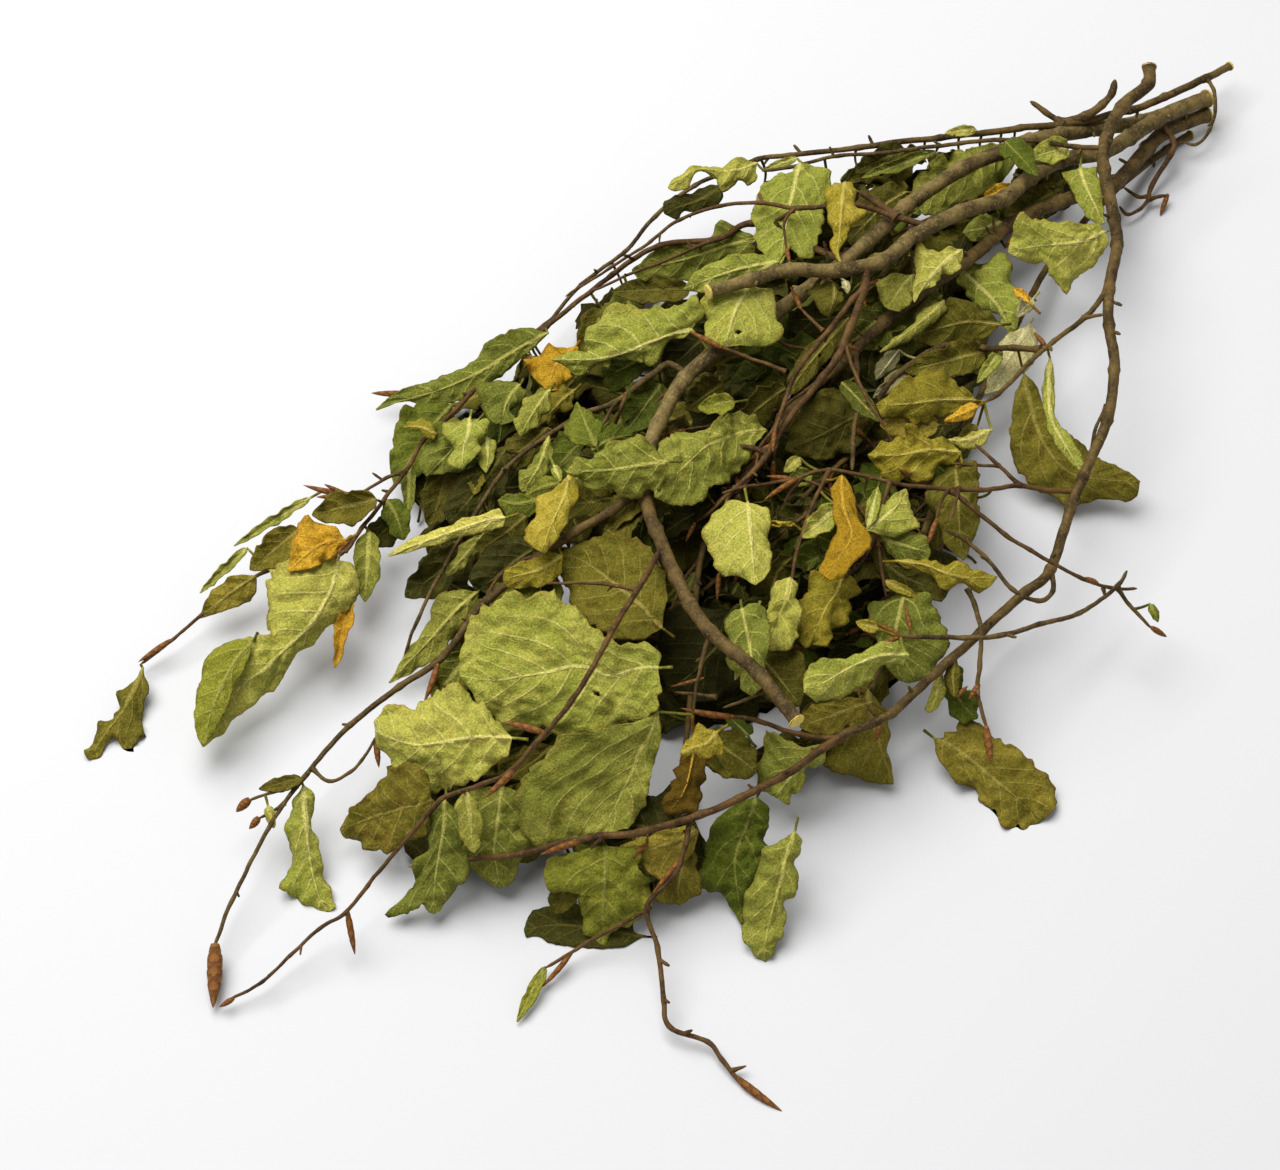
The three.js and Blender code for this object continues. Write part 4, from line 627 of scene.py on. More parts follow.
leaf("torn_front_leaf", "green_leaf", (445, 800, 32), (434, 914, 7), 18, arch=(0.1, 0.1), margins=(
    [(462, 815), (470, 840), (468, 872, -1), (460, 884, -1), (448, 900, -1), (441, 908, -1)],
    [(443, 830, 1), (438, 860, 1), (434, 890)],
    [(432, 815), (428, 835), (428, 850, -1), (418, 868, -1), (412, 885, -2), (402, 893, -2),
     (389, 914, -3), (402, 914, -2), (414, 907, -1), (423, 903), (428, 912)]), light=0.85)
leaf("grey_front_leaf", "green_leaf", (466, 792, 38), (474, 853, 27), 10, arch=(0.12, 0.12), light=1.1, margins=(
    [(478, 805), (482, 825), (480, 845)], [(470, 815, 1), (472, 838, 1)],
    [(457, 802), (458, 822), (464, 845)]))
leaf("dark_left_inner_leaf", "dark_leaf", (470, 550, 24), (405, 597, 16), 18)
leaf("olive_far_leaf", "green_leaf", (520, 385, 29), (500, 425, 29), 14, arch=(0.15, 0.15), margins=(
    [(524, 393), (518, 404), (513, 412), (510, 422)],
    [(508, 400, 2)],
    [(508, 380), (494, 385), (478, 392), (481, 405), (487, 417), (493, 423)]))
leaf("olive_far_leaf_beside", "green_leaf", (550, 390, 42), (520, 436, 40), 14, arch=(0.15, 0.15), margins=(
    [(552, 400), (548, 412), (538, 422), (528, 432)],
    [(535, 410, 2)],
    [(540, 389), (529, 396), (520, 410), (514, 422)]))
leaf("leaf_beside_cut_fork", "green_leaf", (742, 609, 60), (752, 696, 57), 18, arch=(0.1, 0.1), light=0.9, margins=(
    [(764, 608), (768, 622), (766, 645), (765, 665), (762, 688)],
    [(747, 632, 1), (751, 655, 1), (752, 680)],
    [(728, 620), (727, 635), (731, 650), (728, 662), (733, 671), (741, 675), (742, 690)]))
# Painted shade: the leaves in the hollow are painted far darker than their tones, with lights of 0.24 to 0.6, for the
# shade that fills the hollow.
leaf("dark_leaf_in_the_hollow", "dark_leaf", (738, 628, 30), (668, 690, 22), 30, margins=(
    [(745, 655), (742, 685), (715, 700), (690, 702)], [(712, 652, 1), (690, 675, 1)],
    [(720, 608), (690, 604), (665, 612), (658, 640), (660, 670)]), light=0.45)
leaf("brown_rolled_leaf", "golden_leaf", (694, 748, 42), (666, 815, 30), 16, crumple=1.6, tear=0.25,
     margins=(
         [(704, 756), (703, 775), (701, 795), (690, 812)], [(690, 772, 2), (682, 795, 2)],
         [(681, 754), (677, 772), (669, 790), (663, 806)]), light=0.24)
leaf("olive_leaf_in_the_hollow", "olive_leaf", (760, 655, 42), (800, 706, 38), 20, light=0.6, margins=(
    [(778, 640), (802, 655), (806, 680)], [(782, 682, 1)], [(760, 675), (765, 698), (782, 708)]))
leaf("pale_strip_leaf", "pale_leaf", (1050, 358, 42), (1083, 474, 28), 9, arch=(0.15, 0.1), crumple=0.8,
     margins=(
         [(1053, 375), (1053, 399), (1054, 418), (1060, 430), (1071, 441), (1081, 456),
          (1085, 468)],
         [(1049, 385, 1), (1052, 420, 1), (1068, 450, 1)],
         [(1042, 389), (1046, 410), (1048, 429), (1058, 445), (1069, 460)]))
leaf("small_front_leaf", "vivid_leaf", (545, 967, 4), (517, 1022, 2), 5, light=1.4)
leaf("lower_layered_leaf", "dark_leaf", (878, 540, 44), (948, 592, 38), 18, arch=(0.2, 0.15), crumple=1.4,
     light=1.0, margins=(
         [(890, 558), (905, 568), (925, 573), (940, 582)],
         [(890, 568, 1), (915, 582, 1)],
         [(872, 556), (882, 575), (900, 588), (925, 598), (942, 600)]))
leaf("dark_inner_leaf", "dark_leaf", (875, 412, 32), (785, 450, 28), 24, light=1.05, margins=(
    [(870, 432), (850, 452), (825, 460), (800, 456)], [(850, 420, 1), (820, 436, 1)],
    [(862, 395), (835, 387), (810, 397), (792, 425)]))
leaf("upper_far_leaf", "vivid_leaf", (590, 452, 52), (634, 434, 50), 11, margins=(
    [(598, 436), (610, 426), (624, 427)], [(610, 440, 1)],
    [(600, 453), (614, 446), (627, 439)]))
leaf("green_far_leaf", "vivid_leaf", (562, 484, 48), (521, 498, 45), 12, light=1.05, margins=(
    [(557, 491), (549, 499), (537, 501), (527, 500)], [(542, 488, 1)],
    [(556, 479), (545, 476), (537, 485), (528, 492)]))
leaf("shaded_far_leaf", "dark_leaf", (690, 290, 37), (612, 292, 34), 12)
leaf("pale_top_leaf", "pale_leaf", (1068, 148, 35), (1030, 158, 41), 12)
leaf("dark_top_leaf", "vivid_leaf", (1005, 143, 42), (1037, 176, 48), 13)
leaf("grey_hanging_leaf", "green_leaf", (370, 532, 24), (365, 602, 14), 11)
leaf("brown_right_leaf", "vivid_leaf", (955, 660, 30), (977, 719, 18), 20, arch=(0.2, 0.15), crumple=1.6, light=0.75,
     margins=(
         [(962, 668), (962, 682), (970, 690), (979, 700), (981, 710)], [(953, 685, 2), (963, 705, 1)],
         [(946, 670), (943, 685), (945, 702), (950, 717), (963, 721)]))
leaf("scrap_under_bow_twig", "green_leaf", (941, 668, 32), (929, 713, 24), 8, light=1.2, margins=(
    [(946, 690), (942, 700), (937, 708)], [(937, 695, 1)], [(933, 685), (929, 700), (925, 709)]))
leaf("small_oval_by_bow_twig", "olive_leaf", (955, 657, 33), (955, 698, 28), 6, margins=(
    [(959, 668), (960, 682), (958, 692)], [(953, 678, 1)], [(948, 663), (945, 677), (949, 690)]), light=0.8)
leaf("leaf_beside_dark_branch", "green_leaf", (914, 275, 49), (888, 309, 48), 14, crumple=0.8, margins=(
    [(915, 290), (910, 303), (900, 311)], [(900, 290, 1)],
    [(895, 274), (876, 279), (878, 292), (882, 301)]))
leaf("dark_far_scrap_leaf", "dark_leaf", (450, 470, 20), (430, 528, 10), 16)
leaf("low_front_leaf", "olive_leaf", (690, 842, 20), (680, 905, 7), 17, margins=(
    [(696, 855), (699, 875), (700, 895)], [(683, 865, 1), (678, 888, 1)],
    [(672, 858), (658, 873), (652, 893), (662, 903)]))
leaf("leaf_by_left_shoot", "vivid_leaf", (596, 446, 54), (577, 402, 53), 13, margins=(
    [(575, 444), (565, 436), (566, 420), (571, 408)], [(588, 428, 1)],
    [(602, 430), (600, 418), (586, 410)]))
leaf("curled_centre_leaf", "green_leaf", (790, 578, 55), (772, 651, 50), 17, arch=(0.2, 0.2), crumple=1.5,
     light=1.2, margins=(
         [(796, 590), (796, 605), (797, 620), (798, 636), (790, 648)],
         [(786, 600, 2), (778, 622, -2), (773, 638, 1)],
         [(778, 585), (768, 600), (763, 616, 1), (756, 628, 2), (757, 638, 1), (762, 645)]))
leaf("cream_leaf_at_right", "cream_leaf", (1030, 324, 30), (985, 394, 30), 13, crumple=0.8, margins=(
    [(1038, 343), (1034, 362), (1018, 376), (1004, 389)],
    [(1014, 350, 1), (1000, 372, 1)],
    [(1012, 335), (1000, 343), (996, 362), (988, 378)]), light=0.9)
leaf("cream_scrap_leaf", "pale_leaf", (992, 430, 44), (947, 440, 43), 8, light=1.25, margins=(
    [(985, 442), (975, 449), (960, 447)], [(968, 440, 1)], [(980, 430), (965, 437)]))
leaf("orange_scrap_leaf", "golden_leaf", (984, 200, 40), (1012, 184, 42), 7)
leaf("orange_far_scrap_leaf", "golden_leaf", (978, 407, 54), (944, 421, 54), 6, margins=(
    [(973, 415), (964, 421)], [(960, 415, 1)], [(970, 402), (957, 411)]))
leaf("rolled_centre_leaf", "yellow_leaf", (793, 524, 58), (767, 524, 58), 7, fold=(60, 60), curl=(80, 80))
leaf("pointed_centre_leaf", "pale_leaf", (839, 506, 57), (802, 538, 55), 9, fold=(20, 20))
leaf("small_pointed_centre_leaf", "pale_leaf", (868, 527, 58), (878, 487, 57), 5)
leaf("strip_in_the_centre", "pale_leaf", (757, 612, 57), (735, 680, 50), 8, fold=(30, 30))
leaf("hanging_centre_leaf", "olive_leaf", (955, 464, 42), (964, 560, 34), 28, crumple=1.3, light=0.75, margins=(
    [(975, 467), (979, 490), (979, 518), (973, 543)], [(958, 490, 1), (960, 530, 1)],
    [(938, 470), (927, 482), (926, 500), (938, 522), (946, 546)]))
leaf("small_vivid_leaf", "vivid_leaf", (735, 402, 58), (698, 408, 56), 9, light=1.3)
leaf("long_strip_leaf", "pale_leaf", (310, 498, 26), (234, 546, 18), 5, fold=(30, 30), light=0.85)
leaf("longer_strip_leaf", "pale_leaf", (247, 548, 18), (200, 593, 12), 5, fold=(30, 30), light=0.85)
leaf("brown_hidden_leaf", "olive_leaf", (300, 530, 30), (250, 570, 24), 14)
leaf("yellow_scrap_at_left", "yellow_leaf", (436, 434, 34), (403, 427, 33), 9, arch=(0.3, 0.3), margins=(
    [(434, 442), (428, 436), (420, 430), (412, 428)], [(420, 427, 1)],
    [(431, 422), (420, 420), (410, 421)]))
leaf("scalloped_left_leaf", "green_leaf", (478, 420, 30), (426, 476, 26), 20, arch=(0.15, 0.15), light=0.8, margins=(
    [(488, 440), (478, 458), (462, 470), (445, 472), (436, 474)],
    [(465, 435, 2), (450, 452, 2), (436, 466, 1)],
    [(455, 418), (438, 428), (425, 445), (418, 460), (421, 470)]))
leaf("brown_leaf_by_orange_leaf", "yellow_leaf", (575, 390, 30), (541, 424, 30), 13, arch=(0.2, 0.2), crumple=1.6,
     light=0.55, margins=(
         [(572, 405), (560, 415), (548, 424)], [(560, 402, 2)], [(562, 388), (548, 393), (541, 408)]))
leaf("small_olive_far_leaf", "olive_leaf", (478, 472, 28), (474, 495, 26), 7)
leaf("leaf_by_small_gap", "vivid_leaf", (385, 500, 26), (404, 540, 20), 13, light=0.9, margins=(
    [(400, 502), (409, 515), (410, 530)], [(396, 515, 2)], [(382, 512), (388, 525), (395, 537)]))
leaf("dark_leaf_at_left", "dark_leaf", (398, 520, 20), (364, 548, 14), 13, crumple=1.5)
leaf("lower_green_far_leaf", "vivid_leaf", (538, 500, 46), (498, 500, 42), 13, light=0.95, margins=(
    [(536, 511), (527, 518), (510, 517), (503, 509)], [(518, 504, 1)],
    [(527, 495), (510, 495)]))
leaf("dark_leaf_by_strip", "olive_leaf", (528, 514, 42), (478, 552, 34), 20, light=0.6, margins=(
    [(526, 530), (517, 543), (500, 551), (487, 555)], [(510, 530, 1), (492, 542, 1)],
    [(510, 514), (503, 520), (498, 529), (484, 534), (476, 543)]))
leaf("darkest_far_leaf", "dark_leaf", (540, 545, 38), (478, 588, 28), 24, light=0.7, margins=(
    [(538, 560), (525, 575), (505, 588), (488, 592)], [(515, 562, 1), (495, 578, 1)],
    [(520, 535), (497, 543), (480, 560), (470, 578)]))
leaf("yellow_lobe_leaf", "yellow_leaf", (562, 556, 52), (503, 580, 48), 18, light=0.85, margins=(
    [(561, 574), (545, 585), (528, 588), (515, 589), (505, 586)], [(540, 570, 1), (520, 575, 1)],
    [(546, 552), (532, 560), (518, 564), (506, 570)]))
leaf("dark_leaf_by_far_shoot", "olive_leaf", (548, 428, 36), (496, 466, 28), 18, light=0.6, margins=(
    [(548, 445), (535, 462), (518, 470), (503, 470)], [(525, 448, 1)],
    [(528, 428), (508, 438), (497, 452)]))
leaf("tall_dark_far_leaf", "dark_leaf", (506, 450, 32), (450, 522, 20), 26, light=0.75, margins=(
    [(508, 470), (505, 492), (492, 512), (470, 522)], [(485, 480, 1), (468, 502, 1)],
    [(484, 458), (462, 474), (448, 495), (443, 512)]))
leaf("strip_by_tall_brown_leaf", "pale_leaf", (554, 466, 50), (561, 482, 49), 4, light=0.9)
leaf("grey_green_far_leaf", "green_leaf", (549, 437, 46), (522, 492, 42), 16, margins=(
    [(553, 452), (549, 466), (546, 477), (537, 488)], [(541, 462, 1), (532, 478, 1)],
    [(540, 450), (532, 464), (520, 474), (519, 486)]))
leaf("small_pale_far_leaf", "green_leaf", (484, 535, 36), (446, 576, 26), 12, light=1.1, margins=(
    [(482, 546), (471, 556), (462, 568), (453, 573)], [(468, 553, 1)],
    [(471, 539), (460, 547), (455, 560), (448, 567)]))
leaf("olive_leaf_by_cut_end", "olive_leaf", (872, 702, 32), (800, 727, 30), 18, margins=(
    [(865, 715), (848, 722), (838, 733), (815, 735)], [(835, 715, 1)],
    [(850, 697), (830, 703), (812, 705), (801, 712)]))
leaf("dark_leaf_by_front_fork", "olive_leaf", (700, 735, 30), (757, 772, 24), 22, light=0.8, margins=(
    [(720, 728), (740, 735), (755, 748)], [(730, 752, 1)],
    [(694, 750), (705, 765), (725, 777), (750, 778)]))
leaf("strip_under_layered_leaf", "yellow_leaf", (884, 581, 45), (921, 598, 41), 4, crumple=0.6)
leaf("yellow_scrap_by_buds", "yellow_leaf", (878, 629, 47), (856, 622, 48), 5)
leaf("pale_leaf_by_ribbed_leaf", "pale_leaf", (486, 437, 33), (486, 473, 31), 8, light=0.95, margins=(
    [(495, 441), (496, 450), (492, 462)], [(488, 455, 1)], [(481, 448), (478, 462)]))
leaf("narrow_left_leaf", "green_leaf", (410, 464, 24), (408, 516, 18), 6)
leaf("dark_leaf_over_pressed_leaf", "dark_leaf", (575, 868, 16), (555, 915, 4), 12)
leaf("tiny_green_leaf", "vivid_leaf", (1150, 604, 28), (1158, 622, 26), 4)
leaf("leaf_on_edge_twig", "pale_leaf", (976, 130, 36), (945, 133, 38), 5)
leaf("leaf_by_edge_twig", "dark_leaf", (905, 150, 40), (855, 172, 38), 12, crumple=1.3, light=0.9)
leaf("olive_arched_leaf", "olive_leaf", (985, 352, 36), (905, 372, 36), 14, arch=(0.15, 0.15))
leaf("dark_upper_leaf", "olive_leaf", (1000, 325, 32), (912, 338, 33), 18, light=0.7, margins=(
    [(985, 338), (960, 342), (935, 346), (920, 343)], [(970, 322, 1), (940, 328, 1)],
    [(990, 310), (970, 303), (948, 300), (939, 314), (924, 326)]))
leaf("rolled_green_leaf", "green_leaf", (944, 301, 40), (880, 352, 42), 8, arch=(0.4, 0.4), crumple=0.6, light=1.1,
     margins=(
         [(946, 309), (936, 321), (918, 334), (900, 344)], [(933, 312, 2), (910, 330, 2)],
         [(937, 301), (924, 310), (911, 325), (897, 338)]))
# Painted shade: these cream undersides lie in shade and are painted darker, with lights of 0.42 and 0.55.
leaf("shaded_cream_leaf", "cream_leaf", (899, 350, 36), (876, 380, 35), 9, margins=(
    [(899, 360), (892, 370), (882, 376)], [(888, 364, 1)], [(888, 352), (878, 363), (875, 372)]), light=0.42)
leaf("shaded_cream_scrap", "cream_leaf", (906, 370, 35), (873, 398, 34), 6, light=0.55)
leaf("narrow_centre_leaf", "green_leaf", (842, 383, 46), (880, 422, 44), 9, light=0.6)
leaf("dark_hanging_leaf", "olive_leaf", (832, 281, 62), (828, 318, 60), 13, light=0.65, margins=(
    [(839, 288), (838, 304)], [(834, 295, 1)], [(818, 284), (806, 290), (814, 303), (820, 313)]))
leaf("cream_scrap_by_branch", "cream_leaf", (845, 281, 52), (848, 294, 52), 4)
leaf("holed_olive_leaf", "olive_leaf", (848, 318, 50), (787, 395, 46), 16, light=0.65, hole=(0.5, -0.2, 0.9), margins=(
    [(845, 336), (831, 356), (811, 379), (797, 393)], [(828, 342, 1), (806, 368, 1)],
    [(835, 325), (815, 340), (800, 356), (788, 376)]))
leaf("small_leaf_by_red_twig", "green_leaf", (800, 458, 56), (784, 472, 55), 5, light=1.1)
leaf("round_leaf_by_red_twig", "green_leaf", (812, 474, 53), (788, 481, 52), 8)
leaf("olive_leaf_between", "olive_leaf", (938, 425, 46), (880, 425, 46), 13)
leaf("leaf_under_thick_branch", "pale_leaf", (1001, 222, 36), (963, 232, 36), 11, light=0.8, margins=(
    [(998, 236), (985, 240), (970, 241)], [(982, 229, 1)], [(986, 214), (972, 221)]))
leaf("scrap_on_edge_twig", "pale_leaf", (797, 158, 44), (762, 171, 43), 4, light=0.85)
leaf("brown_upper_leaf", "olive_leaf", (906, 192, 38), (848, 242, 36), 20, light=0.5, margins=(
    [(905, 215), (886, 232), (866, 245), (853, 249)], [(885, 205, 1), (865, 225, 1)],
    [(890, 184), (870, 190), (855, 205), (847, 225)]))
leaf("folded_upper_leaf", "green_leaf", (936, 152, 41), (862, 178, 39), 7, fold=(35, 35), light=0.75)
leaf("dark_leaf_under_branch", "dark_leaf", (1060, 190, 24), (1000, 222, 26), 14)
leaf("strip_over_cream_leaf", "pale_leaf", (1001, 350, 37), (977, 383, 36), 6, light=0.85)
leaf("dark_leaf_by_grey_branch", "vivid_leaf", (662, 384, 48), (626, 432, 44), 20, light=0.6)
leaf("leaf_under_torn_leaf", "vivid_leaf", (650, 352, 46), (604, 378, 38), 14, light=0.7, margins=(
    [(648, 368), (632, 378), (625, 390), (610, 392)], [(632, 364, 1)], [(630, 355), (615, 358), (602, 368)]))
leaf("orange_husk", "golden_leaf", (1030, 303, 43), (1014, 289, 41), 5, fold=(40, 40))
leaf("grey_scrap_leaf", "cream_leaf", (1033, 299, 38), (1016, 317, 36), 6, light=0.85)
leaf("green_scrap_at_top", "vivid_leaf", (888, 257, 58), (868, 258, 57), 4, light=1.2)
leaf("dark_scrap_by_left_buds", "dark_leaf", (303, 779, 25), (259, 789, 22), 6, light=1.3)
leaf("green_scrap_by_left_buds", "green_leaf", (268, 806, 21), (274, 828, 18), 4)
leaf("lower_left_inner_leaf", "green_leaf", (470, 655, 30), (432, 700, 26), 14)
print(f"{len(LEAVES)} leaves")

# %% [markdown]
# ## Small helpers
#
# Materials and Geometry Nodes are both trees of nodes, so one helper adds a node, sets its options
# and links its inputs in a single call. Colours are given as a screen shows them, because that is how
# a colour is read off a real thing, and turned into the linear values that Blender calculates with.

# %% Helpers for nodes, colours and directions
def node(tree, kind, inputs=None, **settings):
    """Adds a node, sets its options, and fills or links its inputs."""
    made = tree.nodes.new(kind)
    for name, value in settings.items():
        setattr(made, name, value)
    for key, value in (inputs or {}).items():
        if isinstance(value, bpy.types.NodeSocket):
            tree.links.new(value, made.inputs[key])
        else:
            made.inputs[key].default_value = value
    return made


def linear(part):
    share = part / 255
    return share / 12.92 if share <= 0.04045 else ((share + 0.055) / 1.055) ** 2.4


def rgb(red, green, blue):
    """A screen colour, from 0 to 255, as the linear colour that a socket takes."""
    return (linear(red), linear(green), linear(blue), 1.0)


def unit(vectors):
    return vectors / np.linalg.norm(vectors, axis=-1, keepdims=True)


def square_to(direction, axis):
    """The part of a direction that is square to an axis, as a unit vector."""
    return unit(direction - np.sum(direction * axis, axis=-1, keepdims=True) * axis)


print("helpers ready")

# %% [markdown]
# ## The skin of a dried leaf
#
# Dried beech leaves are matt and mottled: yellow-green to olive, with brown blemishes, a browner
# margin, and a pale net of veins. The midrib and its side veins have to follow the blade as it
# bends, so each blade carries its own numbers on its points: how far a point is from the midrib, and
# where it is between two side veins. The shader group turns those into lines, adds the fine net and
# the mottling, and is built once for all the tones.

# %% A shader group for leaf skin
def mix(tree, share, first, second, blend="MIX"):
    """A colour mix of two colours or sockets. Returns its colour output."""
    made = node(tree, "ShaderNodeMix", {0: share, 6: first, 7: second}, data_type="RGBA", blend_type=blend)
    return made.outputs[2]


def ramp(tree, value, low, high, bottom=0.0, top=1.0):
    """Maps a value that runs from low to high smoothly to bottom and top. Returns its output."""
    made = node(tree, "ShaderNodeMapRange", {0: value, 1: low, 2: high, 3: bottom, 4: top},
                interpolation_type="SMOOTHSTEP")
    return made.outputs[0]


def calc(tree, operation, first, second=0.0):
    return node(tree, "ShaderNodeMath", {0: first, 1: second}, operation=operation).outputs[0]


def noise_at(tree, where, scale, detail=3.0, roughness=0.55):
    """A noise texture in space, at so many bumps a metre. Returns its grey output."""
    made = node(tree, "ShaderNodeTexNoise", {"Vector": where, "Scale": scale, "Detail": detail,
                                             "Roughness": roughness})
    return made.outputs[0]


def point_value(tree, name):
    """A number that the mesh carries on its points."""
    return node(tree, "ShaderNodeAttribute", attribute_name=name).outputs["Fac"]


def skin_group(name, colours, numbers):
    """An empty shader group with colour and number inputs, and colour, roughness and height outputs."""
    group = bpy.data.node_groups.new(name, "ShaderNodeTree")
    for label in colours:
        group.interface.new_socket(label, in_out="INPUT", socket_type="NodeSocketColor")
    for label in numbers:
        group.interface.new_socket(label, in_out="INPUT", socket_type="NodeSocketFloat")
    group.interface.new_socket("Colour", in_out="OUTPUT", socket_type="NodeSocketColor")
    group.interface.new_socket("Roughness", in_out="OUTPUT", socket_type="NodeSocketFloat")
    group.interface.new_socket("Height", in_out="OUTPUT", socket_type="NodeSocketFloat")
    return group, node(group, "NodeGroupInput").outputs


leaf_skin, given = skin_group(
    "Leaf skin", ("Blade", "Second blade", "Vein", "Blemish"), ("Vein strength", "Blemish amount"))
here = node(leaf_skin, "ShaderNodeTexCoord").outputs["Object"]
margin = point_value(leaf_skin, "margin")
along = point_value(leaf_skin, "along")

patchy = noise_at(leaf_skin, here, 55.0, 6.0, 0.65)
crinkle = noise_at(leaf_skin, here, 380.0, 5.0, 0.7)
stain = noise_at(leaf_skin, here, 160.0, 5.0, 0.65)
grain = noise_at(leaf_skin, here, 1300.0, 2.0, 0.7)
side_vein = calc(leaf_skin, "ABSOLUTE", calc(
    leaf_skin, "SUBTRACT", calc(leaf_skin, "FRACT", point_value(leaf_skin, "vein")), 0.5))
side_fade = calc(leaf_skin, "MULTIPLY", ramp(leaf_skin, margin, 1.0, 0.5, 0.0, 0.8),
                 ramp(leaf_skin, stain, 0.35, 0.65, 0.5, 1.0))
side_line = calc(leaf_skin, "MULTIPLY", ramp(leaf_skin, side_vein, 0.08, 0.02), side_fade)
rib_width = ramp(leaf_skin, along, 0.0, 1.0, 1.0, 0.25)
midrib_line = ramp(leaf_skin, calc(
    leaf_skin, "DIVIDE", calc(leaf_skin, "ABSOLUTE", point_value(leaf_skin, "rib")), rib_width), 1.3, 0.6)
midrib_fade = calc(leaf_skin, "MULTIPLY", midrib_line, ramp(leaf_skin, along, 0.4, 1.0, 1.0, 0.45))
veins = calc(leaf_skin, "MAXIMUM", side_line, midrib_fade)
net = node(leaf_skin, "ShaderNodeTexVoronoi", {"Vector": here, "Scale": 520.0}, feature="DISTANCE_TO_EDGE")
net_line = ramp(leaf_skin, net.outputs["Distance"], 0.1, 0.0)

mottle = ramp(leaf_skin, calc(leaf_skin, "ADD", patchy, point_value(leaf_skin, "shift")), 0.36, 0.64)
spots = ramp(leaf_skin, stain, 0.56, 0.72)
brown_margin = ramp(leaf_skin, calc(leaf_skin, "ADD", margin, calc(leaf_skin, "MULTIPLY", stain, 0.6)),
                    1.17, 1.32, 0.0, 0.85)
blemished = calc(leaf_skin, "MULTIPLY", calc(leaf_skin, "MAXIMUM", spots, brown_margin),
                 given["Blemish amount"])

colour = mix(leaf_skin, mottle, given["Blade"], given["Second blade"])
colour = mix(leaf_skin, blemished, colour, given["Blemish"])
colour = mix(leaf_skin, calc(leaf_skin, "MULTIPLY", net_line, 0.16), colour, given["Vein"])
colour = mix(leaf_skin, calc(leaf_skin, "MULTIPLY", veins, given["Vein strength"]), colour, given["Vein"])
# Painted light and shade: the number that every blade carries for its brightness scales its whole colour. It holds the
# leaf's own random tone or, for a leaf given a light, the light or shade painted onto the whole leaf.
tone_and_painted_shade_value = calc(leaf_skin, "ADD", point_value(leaf_skin, "shift"), 1.0)
own_hue = ramp(leaf_skin, point_value(leaf_skin, "shift"), -0.2, 0.2, 0.505, 0.49)
speckle_with_painted_shade = calc(leaf_skin, "MULTIPLY", ramp(leaf_skin, grain, 0.3, 0.7, 0.7, 1.25), tone_and_painted_shade_value)
shade = node(leaf_skin, "ShaderNodeHueSaturation", {
    "Hue": own_hue, "Value": speckle_with_painted_shade, "Color": colour}).outputs[0]
relief = calc(leaf_skin, "ADD", calc(leaf_skin, "ADD", calc(leaf_skin, "MULTIPLY", grain, 0.5),
                                     calc(leaf_skin, "MULTIPLY", crinkle, 2.2)),
              calc(leaf_skin, "ADD", calc(leaf_skin, "MULTIPLY", net_line, 0.25),
                   calc(leaf_skin, "MULTIPLY", veins, 0.8)))
node(leaf_skin, "NodeGroupOutput", {
    "Colour": shade, "Roughness": ramp(leaf_skin, stain, 0.2, 0.8, 0.6, 0.85), "Height": relief})
print("leaf skin:", len(leaf_skin.nodes), "nodes")

# %% [markdown]
# ## Leaf materials
#
# One bunch holds leaves that dried at different times, so there are several tones: pale yellow-green
# ones on top, darker green and olive ones, and a few golden or brown ones. The darker tones go mostly
# to leaves in the shade, so their darkness is partly their own colour and partly painted shade. They
# share the group and differ only in its colours.

# %% The tones of the leaves
def skinned(name, group, values, bump, gloss):
    """A material whose colour, roughness and bump come from a skin group."""
    material = bpy.data.materials.new(name)
    material.use_nodes = True
    tree = material.node_tree
    shader = tree.nodes["Principled BSDF"]
    skin = node(tree, "ShaderNodeGroup", node_tree=group)
    for label, value in values.items():
        skin.inputs[label].default_value = value
    tree.links.new(skin.outputs["Colour"], shader.inputs["Base Color"])
    tree.links.new(skin.outputs["Roughness"], shader.inputs["Roughness"])
    bumped = node(tree, "ShaderNodeBump", {"Strength": 0.8, "Distance": bump, "Height": skin.outputs["Height"]})
    tree.links.new(bumped.outputs[0], shader.inputs["Normal"])
    shader.inputs["Specular IOR Level"].default_value = gloss
    return material


LEAF_GLOSS = 0.12
LEAF_BUMP = 0.55 * MM


def leaf_material(name, blade, second, vein, blemish, strength, amount):
    return skinned(name, leaf_skin, {
        "Blade": rgb(*blade), "Second blade": rgb(*second), "Vein": rgb(*vein), "Blemish": rgb(*blemish),
        "Vein strength": strength, "Blemish amount": amount}, LEAF_BUMP, LEAF_GLOSS)


